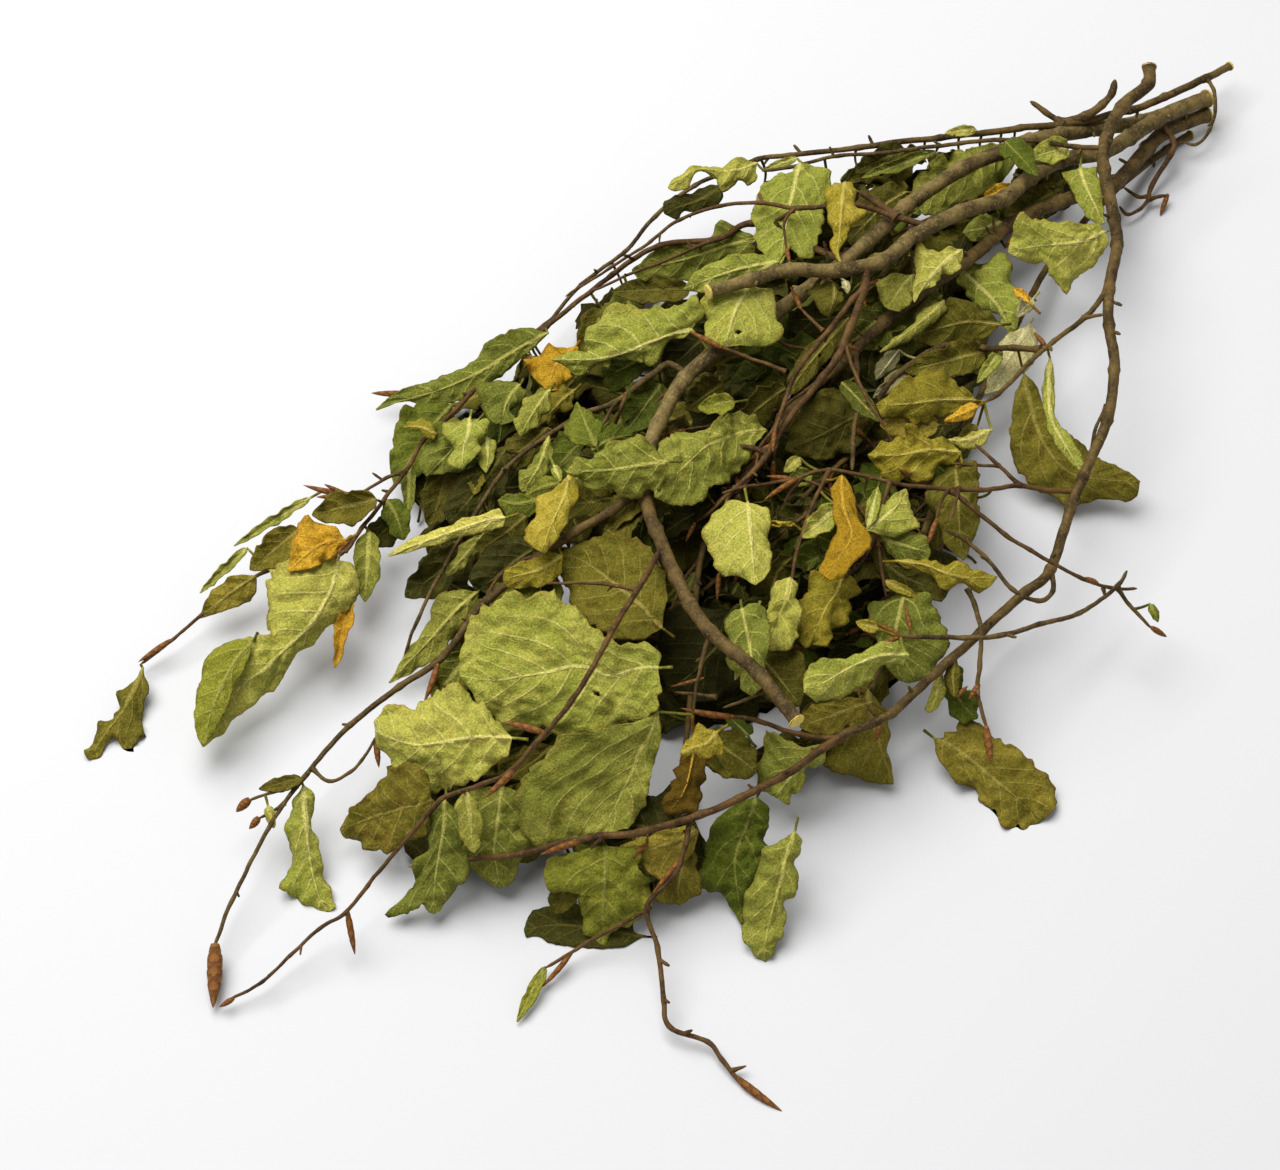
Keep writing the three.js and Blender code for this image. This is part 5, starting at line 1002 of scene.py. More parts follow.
TONES = {
    "pale_leaf": leaf_material(
        "pale yellow-green leaf", (144, 147, 52), (168, 164, 70), (214, 204, 120), (122, 94, 28), 0.7, 0.5),
    "green_leaf": leaf_material(
        "grey-green leaf", (112, 116, 38), (140, 140, 54), (196, 188, 98), (98, 78, 24), 0.65, 0.5),
    "vivid_leaf": leaf_material(
        "green leaf", (82, 92, 16), (110, 114, 32), (160, 156, 76), (82, 66, 18), 0.5, 0.5),
    "olive_leaf": leaf_material(
        "olive leaf", (102, 94, 22), (132, 120, 38), (176, 160, 80), (90, 60, 16), 0.5, 0.7),
    "dark_leaf": leaf_material(
        "dark green leaf", (60, 58, 12), (88, 83, 22), (126, 118, 50), (58, 40, 12), 0.5, 0.7),
    "yellow_leaf": leaf_material(
        "yellow-olive leaf", (146, 130, 32), (176, 156, 54), (204, 186, 96), (112, 76, 16), 0.5, 0.6),
    "golden_leaf": leaf_material(
        "golden leaf", (166, 126, 20), (190, 152, 38), (206, 164, 66), (122, 70, 12), 0.35, 0.7),
    "cream_leaf": leaf_material(
        "cream underside of a leaf", (184, 174, 116), (202, 192, 138), (214, 204, 156), (150, 126, 66), 0.5, 0.4),
}
print("tones:", ", ".join(TONES))

# %% [markdown]
# ## Bark, buds and cut wood
#
# Beech bark on young twigs is thin and smooth, grey-brown on the thick ones and red-brown on the
# thin ones, with faint rings around it and small pale pores. Buds are cinnamon with darker edges on
# their scales. Where the secateurs went through, the wood is pale yellow.

# %% Bark, bud and wood materials
bark_skin, given = skin_group("Bark skin", ("Bark", "Dark bark", "Pale bark"), ("Pale amount",))
here = node(bark_skin, "ShaderNodeTexCoord").outputs["Object"]
patches = noise_at(bark_skin, here, 110.0, 6.0, 0.65)
grain = noise_at(bark_skin, here, 900.0, 4.0, 0.7)
rings = node(bark_skin, "ShaderNodeTexNoise", {
    "W": point_value(bark_skin, "length"), "Scale": 420.0, "Detail": 4.0, "Roughness": 0.7},
    noise_dimensions="1D").outputs[0]
colour = mix(bark_skin, ramp(bark_skin, patches, 0.35, 0.65), given["Bark"], given["Dark bark"])
colour = mix(bark_skin, calc(bark_skin, "MULTIPLY", ramp(bark_skin, rings, 0.55, 0.75), 0.5),
             colour, given["Dark bark"])
silvered = calc(bark_skin, "MULTIPLY", ramp(bark_skin, grain, 0.5, 0.72), given["Pale amount"])
colour = mix(bark_skin, silvered, colour, given["Pale bark"])
colour = mix(bark_skin, point_value(bark_skin, "pore"), colour, given["Pale bark"])
relief = calc(bark_skin, "ADD", calc(bark_skin, "MULTIPLY", rings, 0.6), grain)
node(bark_skin, "NodeGroupOutput", {
    "Colour": colour, "Roughness": ramp(bark_skin, patches, 0.3, 0.7, 0.55, 0.8), "Height": relief})


BARK_BUMP = 0.35 * MM
BARK_GLOSS = 0.2


def bark_material(name, bark, dark, pale, amount):
    return skinned(name, bark_skin, {
        "Bark": rgb(*bark), "Dark bark": rgb(*dark), "Pale bark": rgb(*pale), "Pale amount": amount}, BARK_BUMP, BARK_GLOSS)


BARKS = {
    "grey_bark": bark_material("grey-brown bark", (122, 103, 56), (64, 50, 24), (160, 144, 94), 0.55),
    "dark_bark": bark_material("dark bark", (98, 77, 36), (50, 37, 15), (138, 117, 66), 0.45),
    "red_brown_bark": bark_material("red-brown bark", (96, 68, 31), (54, 35, 15), (138, 110, 60), 0.4),
}

wood_skin, given = skin_group("Cut wood skin", ("Wood", "Old wood"), ("Ring count",))
here = node(wood_skin, "ShaderNodeTexCoord").outputs["Object"]
ring = calc(wood_skin, "FRACT", calc(
    wood_skin, "MULTIPLY", point_value(wood_skin, "radius_share"), given["Ring count"]))
fibres = noise_at(wood_skin, here, 1800.0, 3.0, 0.7)
worn = calc(wood_skin, "MAXIMUM", ramp(wood_skin, ring, 0.7, 1.0, 0.0, 0.6), ramp(wood_skin, fibres, 0.5, 0.75))
node(wood_skin, "NodeGroupOutput", {
    "Colour": mix(wood_skin, worn, given["Wood"], given["Old wood"]),
    "Roughness": ramp(wood_skin, fibres, 0.2, 0.8, 0.6, 0.85), "Height": fibres})
cut_wood = skinned("cut wood", wood_skin, {
    "Wood": rgb(226, 204, 104), "Old wood": rgb(172, 142, 62), "Ring count": 4.0}, BARK_BUMP, BARK_GLOSS)

bud_skin, given = skin_group("Bud skin", ("Scale", "Scale edge"), ("Edge amount",))
here = node(bud_skin, "ShaderNodeTexCoord").outputs["Object"]
flecks = noise_at(bud_skin, here, 1200.0, 3.0, 0.7)
edges = calc(bud_skin, "MULTIPLY", ramp(bud_skin, point_value(bud_skin, "scale"), 0.55, 0.95), given["Edge amount"])
tinted = mix(bud_skin, calc(bud_skin, "MAXIMUM", edges, ramp(bud_skin, flecks, 0.55, 0.75, 0.0, 0.7)),
             given["Scale"], given["Scale edge"])
node(bud_skin, "NodeGroupOutput", {
    "Colour": tinted, "Roughness": ramp(bud_skin, flecks, 0.2, 0.8, 0.4, 0.65), "Height": flecks})
bud_brown = skinned("bud scales", bud_skin, {
    "Scale": rgb(132, 84, 30), "Scale edge": rgb(74, 42, 16), "Edge amount": 0.8}, LEAF_BUMP, BARK_GLOSS)
print("barks:", ", ".join(BARKS), "and", cut_wood.name, "and", bud_brown.name)

# %% [markdown]
# ## From numbers to a piece
#
# Every piece of the bunch ends up the same way: a mesh with numbers on its points for the shader,
# smooth shading, a place on the body that it moves with, and the solid that it stands for.

# %% Meshes and pieces
def solid(name, points, faces, material, values):
    """A smooth mesh object from points in metres, faces, and the numbers that its points carry."""
    mesh = bpy.data.meshes.new(name)
    points = np.column_stack((points[:, :2], np.maximum(points[:, 2], 0)))
    mesh.from_pydata(points.tolist(), [], [list(face) for face in faces])
    mesh.materials.append(material)
    for label, numbers in values.items():
        mesh.attributes.new(label, "FLOAT", "POINT").data.foreach_set("value", np.asarray(numbers, "f"))
    mesh.shade_smooth()
    made = bpy.data.objects.new(name, mesh)
    bpy.context.scene.collection.objects.link(made)
    return made


def keep(piece):
    """The piece rides on the bunch and replaces the solid of its name, if there is one."""
    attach(piece, "root")
    for ending in ("_bark", "_blade"):
        stood_for = piece.name.removesuffix(ending)
        if piece.name.endswith(ending) and stood_for in frame["nodes"]:
            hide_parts(stood_for)


def triangle_count(thing):
    return sum(len(face.vertices) - 2 for face in thing.data.polygons)


def tube(path, radii, sides):
    """Points and faces of a closed tube along a path, its ends narrowed to small caps."""
    path = np.asarray(path)
    tangents = unit(np.gradient(path, axis=0))
    normal = square_to(np.array((0.0, 0.0, 1.0)), tangents[0])
    turns = np.linspace(0, 2 * math.pi, sides, endpoint=False)
    rings = []
    for middle, tangent, radius in zip(path, tangents, radii):
        normal = square_to(normal, tangent)
        across = np.cross(tangent, normal)
        rings.append(middle + radius * (np.outer(np.cos(turns), normal) + np.outer(np.sin(turns), across)))
    points = np.concatenate(rings)
    faces = []
    for ring in range(len(path) - 1):
        for corner in range(sides):
            a = ring * sides + corner
            b = ring * sides + (corner + 1) % sides
            faces.append((a, b, b + sides, a + sides))
    last = len(points) - sides
    faces.append(tuple(reversed(range(sides))))
    faces.append(tuple(range(last, last + sides)))
    return points, faces


print("piece helpers ready")

# %% [markdown]
# ## Smooth paths for the twigs
#
# A twig grows from bud to bud and turns a little at each, where old scars leave a swelling. So the
# route's points become the knots of a smooth curve, the radius swells at every knot, and a side
# shoot widens where it leaves its twig. A slight wander keeps a long stretch from looking drawn.

# %% A twig's path with its radii
PATH_STEP = 1.2 * MM
KNOT_SWELLING = 0.24
KNOT_LENGTH = 1.3 * MM
COLLAR_SWELLING = 0.5
COLLAR_LENGTH = 2.0 * MM
TIP_LENGTH = 1.6 * MM
WANDER = 0.5 * MM
WANDERS_PER_METRE = 55.0
JITTER = 0.28 * MM
JITTERS_PER_METRE = 190.0


def smooth_path(thickness, knots, is_shoot, is_cut):
    """Points along a smooth curve through a route, each with the twig's radius there."""
    ends = [2 * knots[0] - knots[1], *knots, 2 * knots[-1] - knots[-2]]
    stretches = len(knots) - 1
    path = []
    shares = []
    swelling = []
    for part, (a, b, c, d) in enumerate(zip(ends, ends[1:], ends[2:], ends[3:])):
        span = (c - b).length
        steps = max(2, round(span / PATH_STEP))
        for step in range(steps + (part == stretches - 1)):
            t = step / steps
            point = (2 * b + (c - a) * t + (2 * a - 5 * b + 4 * c - d) * t**2
                     + (3 * b - a - 3 * c + d) * t**3) / 2
            path.append(point + noise.noise_vector(point * WANDERS_PER_METRE) * WANDER
                        + noise.noise_vector(point * JITTERS_PER_METRE) * JITTER)
            shares.append((part + t) / stretches)
            swelling.append(1 + KNOT_SWELLING * math.exp(-(min(t, 1 - t) * span / KNOT_LENGTH) ** 2))
    radii = np.interp(shares, np.linspace(0, 1, len(thickness)), thickness) * MM / 2 * np.array(swelling)
    walked = np.concatenate(([0], np.cumsum(np.linalg.norm(np.diff(np.array(path), axis=0), axis=1))))
    if is_shoot:
        radii *= 1 + COLLAR_SWELLING * np.exp(-walked / COLLAR_LENGTH)
    if not is_cut:
        radii *= np.clip((walked[-1] - walked) / TIP_LENGTH, 0.3, 1)
    return path, radii


SPUR_SHARE = 0.4
SPUR_RADIUS = 0.6 * MM


def spurs(path, radii, draw):
    """Short stubs where old side buds sat, as paths of their own with their radii."""
    stubs = []
    spacing = 14 * MM
    for at in range(8, len(path) - 8, round(spacing / PATH_STEP)):
        forward = (path[at + 2] - path[at - 2]).normalized()
        aside = Vector((draw.gauss(0, 1), draw.gauss(0, 1), draw.gauss(0, 1)))
        aside = (aside - forward * aside.dot(forward)).normalized()
        if draw.random() > SPUR_SHARE:
            continue
        heading = (aside + forward * draw.uniform(0.2, 1.0)).normalized()
        reach = draw.uniform(1.6, 4.0) * MM + radii[at]
        radius = min(SPUR_RADIUS, radii[at] * 0.7)
        stubs.append(([path[at] + heading * reach * share for share in (0, 0.5, 0.75, 1)],
                      np.array((radius * 1.3, radius, radius * 1.25, radius * 0.7))))
    return stubs


print("a path has a point every", PATH_STEP / MM, "mm")

# %% [markdown]
# ## A twig from its path, with Geometry Nodes
#
# A twig is one section carried along a path, and its bark repeats the same few things all over:
# fine ridges and small raised pores. That is a rule, so it is a node tree with named sizes: the path
# gets even rings, the rings get a round section, noise moves the bark in and out, and pores are set
# on it as flat beads. The beads are made real geometry before the tree ends.

# %% The twig tree
def twig_tree():
    tree = bpy.data.node_groups.new("Twig along its path", "GeometryNodeTree")
    face = tree.interface
    face.new_socket("Path", in_out="INPUT", socket_type="NodeSocketGeometry")
    for label in ("Ring spacing", "Bark relief", "Ridges per metre", "Pores per square metre", "Pore size"):
        face.new_socket(label, in_out="INPUT", socket_type="NodeSocketFloat")
    for label in ("Sides", "Seed"):
        face.new_socket(label, in_out="INPUT", socket_type="NodeSocketInt")
    face.new_socket("Bark", in_out="INPUT", socket_type="NodeSocketMaterial")
    face.new_socket("Twig", in_out="OUTPUT", socket_type="NodeSocketGeometry")
    asked = node(tree, "NodeGroupInput").outputs

    rings = node(tree, "GeometryNodeResampleCurve", {"Curve": asked["Path"], "Length": asked["Ring spacing"]},
                 mode="LENGTH")
    walked = node(tree, "GeometryNodeSplineParameter").outputs["Length"]
    marked = node(tree, "GeometryNodeStoreNamedAttribute", {
        "Geometry": rings.outputs[0], "Name": "length", "Value": walked}, data_type="FLOAT")
    section = node(tree, "GeometryNodeCurvePrimitiveCircle", {"Resolution": asked["Sides"], "Radius": 1.0})
    radius = node(tree, "GeometryNodeInputRadius").outputs[0]
    skin = node(tree, "GeometryNodeCurveToMesh", {
        "Curve": marked.outputs[0], "Profile Curve": section.outputs[0], "Scale": radius, "Fill Caps": True})

    bumps = node(tree, "ShaderNodeTexNoise", {
        "Scale": asked["Ridges per metre"], "Detail": 2.0, "Roughness": 0.6}).outputs[0]
    lift = calc(tree, "MULTIPLY", calc(tree, "SUBTRACT", bumps, 0.5), asked["Bark relief"])
    outward = node(tree, "GeometryNodeInputNormal").outputs[0]
    moved = node(tree, "ShaderNodeVectorMath", {0: outward, "Scale": lift}, operation="SCALE").outputs[0]
    rough = node(tree, "GeometryNodeSetPosition", {"Geometry": skin.outputs[0], "Offset": moved})

    pores = node(tree, "GeometryNodeDistributePointsOnFaces", {
        "Mesh": rough.outputs[0], "Density": asked["Pores per square metre"], "Seed": asked["Seed"]})
    bead = node(tree, "GeometryNodeMeshIcoSphere", {"Radius": asked["Pore size"], "Subdivisions": 1})
    pale = node(tree, "GeometryNodeStoreNamedAttribute", {
        "Geometry": bead.outputs[0], "Name": "pore", "Value": 1.0}, data_type="FLOAT")
    set_on = node(tree, "GeometryNodeInstanceOnPoints", {
        "Points": pores.outputs[0], "Instance": pale.outputs[0], "Rotation": pores.outputs["Rotation"],
        "Scale": (1.0, 0.7, 0.35)})
    both = node(tree, "GeometryNodeJoinGeometry")
    tree.links.new(rough.outputs[0], both.inputs[0])
    tree.links.new(set_on.outputs[0], both.inputs[0])
    real = node(tree, "GeometryNodeRealizeInstances", {"Geometry": both.outputs[0]})
    clad = node(tree, "GeometryNodeSetMaterial", {"Geometry": real.outputs[0], "Material": asked["Bark"]})
    node(tree, "NodeGroupOutput", {"Twig": clad.outputs[0]})
    return tree


along_its_path = twig_tree()
print("twig tree:", len(along_its_path.nodes), "nodes")

# %% Run a tree and keep its result as a plain mesh
def run_tree(source, tree, values, name):
    """Gives an object the tree, sets the tree's inputs by name, and returns the result as a new object."""
    modifier = source.modifiers.new(tree.name, "NODES")
    modifier.node_group = tree
    for item in tree.interface.items_tree:
        if item.item_type == "SOCKET" and item.in_out == "INPUT" and item.name in values:
            modifier[item.identifier] = values[item.name]
    bpy.context.view_layer.update()
    view = bpy.context.evaluated_depsgraph_get()
    mesh = bpy.data.meshes.new_from_object(source.evaluated_get(view), depsgraph=view)
    mesh.name = name
    bpy.data.objects.remove(source)
    made = bpy.data.objects.new(name, mesh)
    bpy.context.scene.collection.objects.link(made)
    return made


def path_object(name, stems):
    """A curve object with one spline for each path and its radii."""
    curve = bpy.data.curves.new(name, "CURVE")
    curve.dimensions = "3D"
    for path, radii in stems:
        spline = curve.splines.new("POLY")
        spline.points.add(len(path) - 1)
        for place, point, radius in zip(spline.points, path, radii):
            place.co = (*point, 1)
            place.radius = radius
    made = bpy.data.objects.new(name, curve)
    bpy.context.scene.collection.objects.link(made)
    return made


print("a tree's result becomes a plain mesh")

# %% [markdown]
# ## The twigs
#
# Thick twigs get more sides than thin ones. The ends that were cut keep their full radius, and the
# others taper off where the last bud sits.

# %% Make the twigs
CUT_AT_TIP = ("thick_branch", "grey_branch_cut_fork")
CUT_AT_START = ("thick_branch", "grey_branch", "dark_branch", "edge_twig", "bow_twig", "second_edge_twig",
                "under_twig")
THICK = 4.5
SIDES = {True: 14, False: 9}
triangles = 0
for number, entry in enumerate(TWIGS):
    stems = [
        smooth_path(thickness, [spot(place) for place in route], index > 0,
                    index == 0 and entry["name"] in CUT_AT_TIP)
        for index, (thickness, route) in enumerate(entry["stems"])
    ]
    entry["paths"] = stems
    thick = entry["stems"][0][0][0] > THICK
    stubs = [stub for stem in stems for stub in spurs(*stem, random.Random(number))]
    made = run_tree(path_object(entry["name"] + "_path", stems + stubs), along_its_path, {
        "Ring spacing": 1.3 * MM, "Bark relief": (0.55 if thick else 0.34) * MM, "Ridges per metre": 420.0,
        "Pores per square metre": 9000.0 if thick else 7000.0, "Pore size": 0.34 * MM,
        "Sides": SIDES[thick], "Seed": number, "Bark": BARKS[entry["bark"]],
    }, entry["name"] + "_bark")
    made.data.shade_smooth()
    for corner in made.data.vertices:
        corner.co.z = max(corner.co.z, 0.0)
    keep(made)
    triangles += triangle_count(made)
print(f"{len(TWIGS)} twigs, {triangles} triangles")

# %% [markdown]
# ## Cut ends
#
# A clean cut shows the wood: a pale disc with faint rings and a slightly torn rim. Each is a low
# dome of a few rings that sits on the twig's end, with the share of its radius kept on its points
# for the rings.

# %% Make the cut ends
CUT_SIDES = 20
CUT_PROFILE = ((0.0, 0.25), (0.12, 0.1), (0.35, 0.3), (0.6, 0.22), (0.85, 0.3), (0.97, 0.12), (0.99, -0.5))


def cut_end(name, centre, outward, radius, seed):
    """A closed cap of cut wood. The profile is (share of the radius, millimetres outward)."""
    draw = random.Random(seed)
    outward = unit(np.array(outward))
    right = square_to(np.array((0.3, 0.5, 0.8)), outward)
    up = np.cross(outward, right)
    points = [np.array(centre) + outward * CUT_PROFILE[0][1] * MM]
    shares = [0.0]
    for share, height in CUT_PROFILE[1:]:
        for turn in np.linspace(0, 2 * math.pi, CUT_SIDES, endpoint=False):
            lift = height * MM + draw.uniform(-0.12, 0.12) * MM
            spoke = (right * math.cos(turn) + up * math.sin(turn)) * radius * share
            points.append(np.array(centre) + spoke + outward * lift)
            shares.append(share)
    faces = [(0, 1 + k, 1 + (k + 1) % CUT_SIDES) for k in range(CUT_SIDES)]
    for ring in range(len(CUT_PROFILE) - 2):
        for k in range(CUT_SIDES):
            a = 1 + ring * CUT_SIDES + k
            b = 1 + ring * CUT_SIDES + (k + 1) % CUT_SIDES
            faces.append((a, a + CUT_SIDES, b + CUT_SIDES, b))
    faces.append(tuple(reversed(range(len(points) - CUT_SIDES, len(points)))))
    return solid(name, np.array(points), faces, cut_wood, {"radius_share": shares})


cuts = 0
for number, entry in enumerate(TWIGS):
    path, radii = entry["paths"][0]
    if entry["name"] in CUT_AT_START:
        keep(cut_end(entry["name"] + "_cut_end", path[0], path[0] - path[2], radii[0], number))
        cuts += 1
    if entry["name"] in CUT_AT_TIP:
        tip = cut_end(entry["name"] + "_far_cut_end", path[-1], path[-1] - path[-3], radii[-1], number)
        keep(tip)
        cuts += 1
print(cuts, "cut ends")

# %% [markdown]
# ## Buds
#
# A beech bud is a slender spindle wrapped in pairs of scales, each pair a quarter turn from the last.
# Each scale's edge stands a little proud of the next. Two saw-toothed waves around the spindle, a
# quarter turn apart, give exactly that, with no scale made by hand.

# %% Make the buds
BUD_SIDES = 16
BUD_RINGS = 26
BUD_STATIONS = (0, 0.12, 0.35, 0.6, 0.8, 0.93, 1)
BUD_RADII = (0.5, 0.8, 1, 0.86, 0.58, 0.26, 0.03)
SCALE_ROWS = 9
SCALE_STEP = 0.16
SCALE_POINT = 0.7


def bud_shape(thickness, foot, point):
    """The points, faces and scale values of one bud."""
    bend = noise.noise_vector(foot * 300) * (point - foot).length * 0.05
    shares = np.linspace(0, 1, BUD_RINGS)
    path = [foot.lerp(point, share) + bend * math.sin(math.pi * share) for share in shares]
    radii = np.interp(shares, BUD_STATIONS, BUD_RADII) * thickness * MM / 2
    points, faces = tube(path, radii, BUD_SIDES)
    turns = np.tile(np.linspace(0, 2 * math.pi, BUD_SIDES, endpoint=False), BUD_RINGS)
    rows = np.repeat(shares, BUD_SIDES) * SCALE_ROWS
    first = 1 - ((rows - SCALE_POINT * np.abs(np.cos(turns))) / 2) % 1
    second = 1 - ((rows - SCALE_POINT * np.abs(np.sin(turns)) + 1) / 2) % 1
    scales = np.maximum(first, second)
    middles = np.repeat(np.array(path), BUD_SIDES, axis=0)
    points = middles + (points - middles) * (1 - SCALE_STEP + SCALE_STEP * scales)[:, None]
    return points, faces, scales


def made_buds(name, shapes):
    """Several buds as one object."""
    starts = np.cumsum([0] + [len(points) for points, _, _ in shapes])
    faces = [[corner + start for corner in face] for start, (_, own, _) in zip(starts, shapes) for face in own]
    return solid(name, np.concatenate([s[0] for s in shapes]), faces, bud_brown,
                 {"scale": np.concatenate([s[2] for s in shapes])})


bud_count = 0
for entry in TWIGS:
    shapes = [bud_shape(thickness, spot(foot), spot(point)) for thickness, foot, point in entry["buds"]]
    if shapes:
        keep(made_buds(entry["name"] + "_buds", shapes))
        bud_count += len(shapes)
print(bud_count, "buds")

# %% [markdown]
# ## A leaf
#
# The blade is a sheet less than half a millimetre thick, worked out as rows across a bent midrib.
# A common leaf is an oval whose halves are folded and curled. A leaf that lies on top and shows its
# own outline is given that outline instead: its left margin, its midrib and its right margin.

# %% The plain surface of a blade
BASE_ROUNDNESS = 0.55
TIP_ROUNDNESS = 0.8
WIDEST = BASE_ROUNDNESS / (BASE_ROUNDNESS + TIP_ROUNDNESS)
WIDEST_REACH = WIDEST**BASE_ROUNDNESS * (1 - WIDEST)**TIP_ROUNDNESS
LEAST_HALF_WIDTH = 0.25 * MM
LEAST_CURL = 1e-3


def oval(along):
    """Half the width of a beech leaf, as a share of its greatest, from base to tip."""
    return along**BASE_ROUNDNESS * (1 - along)**TIP_ROUNDNESS / WIDEST_REACH


MARGIN_WAVES_PER_METRE = 45
MARGIN_NICKS_PER_METRE = 210
MARGIN_TEETH_PER_METRE = 460


def ragged_margin(length, u, v, tear, seed):
    """How much of its reach a leaf keeps at each row and side, with waves, nicks and a few tears."""
    sides = np.array([
        [
            0.5 * noise.noise(Vector((MARGIN_WAVES_PER_METRE * length * s, 7 * h, seed)))
            + 2.8 * max(0.0, noise.noise(Vector((MARGIN_NICKS_PER_METRE * length * s, 7 * h, seed))) - 0.1)
            + 1.3 * noise.noise(Vector((MARGIN_TEETH_PER_METRE * length * s, 7 * h, seed)))
            for h in (-1, 1)
        ]
        for s in u[:, 0]
    ])
    return 1 - tear * np.where(v < 0, sides[:, :1], sides[:, 1:])


def oval_surface(entry, facing, u, v, seed):
    """The blade as an oval, folded along its midrib and curled at its margins."""
    base, tip = np.array(entry["base"]), np.array(entry["tip"])
    length = np.linalg.norm(tip - base)
    half_width = entry["width"] * MM / 2
    sideways = np.cross((tip - base) / length, facing) * entry["sway"] * length
    knees = [
        base,
        base + (tip - base) / 3 + facing * entry["arch"][0] * length + sideways,
        base + (tip - base) * 2 / 3 + facing * entry["arch"][1] * length + sideways,
        tip,
    ]
    weights = ((1 - u)**3, 3 * u * (1 - u)**2, 3 * u**2 * (1 - u), u**3)
    midrib = sum(weight * knee for weight, knee in zip(weights, knees))
    tangent = unit(np.gradient(midrib, axis=0))
    up = square_to(facing, tangent)
    side = np.cross(tangent, up)[:, None, :]
    up = up[:, None, :]

    hand = np.sign(v)
    reach = half_width * oval(u) * np.abs(v) * ragged_margin(length, u, v, entry["tear"], seed)
    reach = np.maximum(reach, LEAST_HALF_WIDTH * np.abs(v))
    opening = np.minimum(1, 2 * oval(u))
    uneven = 1 + 0.5 * np.sin(2 * math.pi * (u * (0.6 + 0.7 * (seed % 7) / 7) + (seed % 11) / 11))
    fold = np.radians(np.where(v < 0, *entry["fold"])) * opening
    curl = np.radians(np.where(v < 0, *entry["curl"])) * opening * np.abs(v) * uneven
    curl = np.where(np.abs(curl) < LEAST_CURL, LEAST_CURL, curl)
    out = (np.sin(fold + curl) - np.sin(fold)) / curl
    rise = (np.cos(fold) - np.cos(fold + curl)) / curl
    points = midrib[:, None, :] + side * (hand * reach * out)[..., None] + up * (reach * rise)[..., None]
    return points, reach, opening


def even_curve(corners, count, slack):
    """Evenly spaced points along a curve through corners, from straight lines (0) to smooth (1)."""
    ends = [2 * corners[0] - corners[1], *corners, 2 * corners[-1] - corners[-2]]
    fine = []
    for a, b, c, d in zip(ends, ends[1:], ends[2:], ends[3:]):
        leave, arrive = (c - a) / 2 * slack, (d - b) / 2 * slack
        for t in np.linspace(0, 1, 12, endpoint=False):
            fine.append((2 * t**3 - 3 * t**2 + 1) * b + (t**3 - 2 * t**2 + t) * leave
                        + (3 * t**2 - 2 * t**3) * c + (t**3 - t**2) * arrive)
    fine = np.array([*fine, corners[-1]])
    walked = np.concatenate(([0], np.cumsum(np.linalg.norm(np.diff(fine, axis=0), axis=1))))
    wanted = np.linspace(0, walked[-1], count)
    return np.stack([np.interp(wanted, walked, fine[:, axis]) for axis in range(3)], 1)


MARGIN_SLACK = 0.25


def margin_surface(entry, facing, u, v, seed):
    """The blade between a given left margin, midrib and right margin.

    Each is a list of places: pixels across, pixels down and, where it stands clear of the leaf's
    plane, by how many millimetres.
    """
    base, tip = np.array(entry["base"]), np.array(entry["tip"])
    eye_point = np.array(eye)

    def corner(place):
        across, down, *lift = place
        sight = np.array(spot((across, down, 0))) - eye_point
        return eye_point + sight * (facing @ (base - eye_point) + sum(lift) * MM) / (facing @ sight)

    left, rib, right = (
        even_curve([base, *(corner(place) for place in line), tip], len(u), slack)
        for line, slack in zip(entry["margins"], (MARGIN_SLACK, 1, MARGIN_SLACK)))
    outer = np.where((v < 0)[..., None], left[:, None], right[:, None])
    share = np.abs(v)[..., None]
    rib = rib[:, None, :]
    length = np.linalg.norm(tip - base)
    keep_share = ragged_margin(length, u, v, entry["tear"] * 0.8, seed)[..., None]
    sideways = np.cross((tip - base) / length, facing) * LEAST_HALF_WIDTH
    outer = rib + (outer - rib) * keep_share + sideways * np.sign(v)[..., None]
    chord = outer - rib
    width = np.linalg.norm(chord, axis=-1, keepdims=True)
    bulge = np.where(v < 0, *entry["arch"])[..., None]
    middle = rib + chord / 2 + facing * bulge * width
    points = (1 - share)**2 * rib + 2 * share * (1 - share) * middle + share**2 * outer
    reach = width[..., 0] * np.abs(v)
    opening = np.minimum(1, width[..., 0] / (0.25 * width.max()))
    return points, reach, opening


print("a leaf is widest at", round(WIDEST, 2), "of its length")

# %% [markdown]
# ## What makes it look dry
#
# A fresh beech leaf is nearly flat, so the dried look is all in the small relief: pleats between the
# side veins, buckles of a few centimetres, sharp creases, and a margin that waves more than the
# middle. Noise that is folded at zero gives creases, because its valleys come to an edge.

# %% The relief of a dried blade
VEIN_SPACING = 8.5 * MM
VEIN_LEAN = 0.9
PLEAT = 0.25 * MM
BUCKLE = 2.6 * MM
BUCKLES_PER_METRE = 32.0
FOLD_DEPTH = 1.6 * MM
FOLDS_PER_METRE = 85.0
CREASE = 0.9 * MM
CREASES_PER_METRE = 240.0
WAVE = 2.0 * MM
FULL_SIZE = 11 * MM


def folded_noise(point, scale):
    return abs(noise.noise(point * scale)) * 2 - 0.4


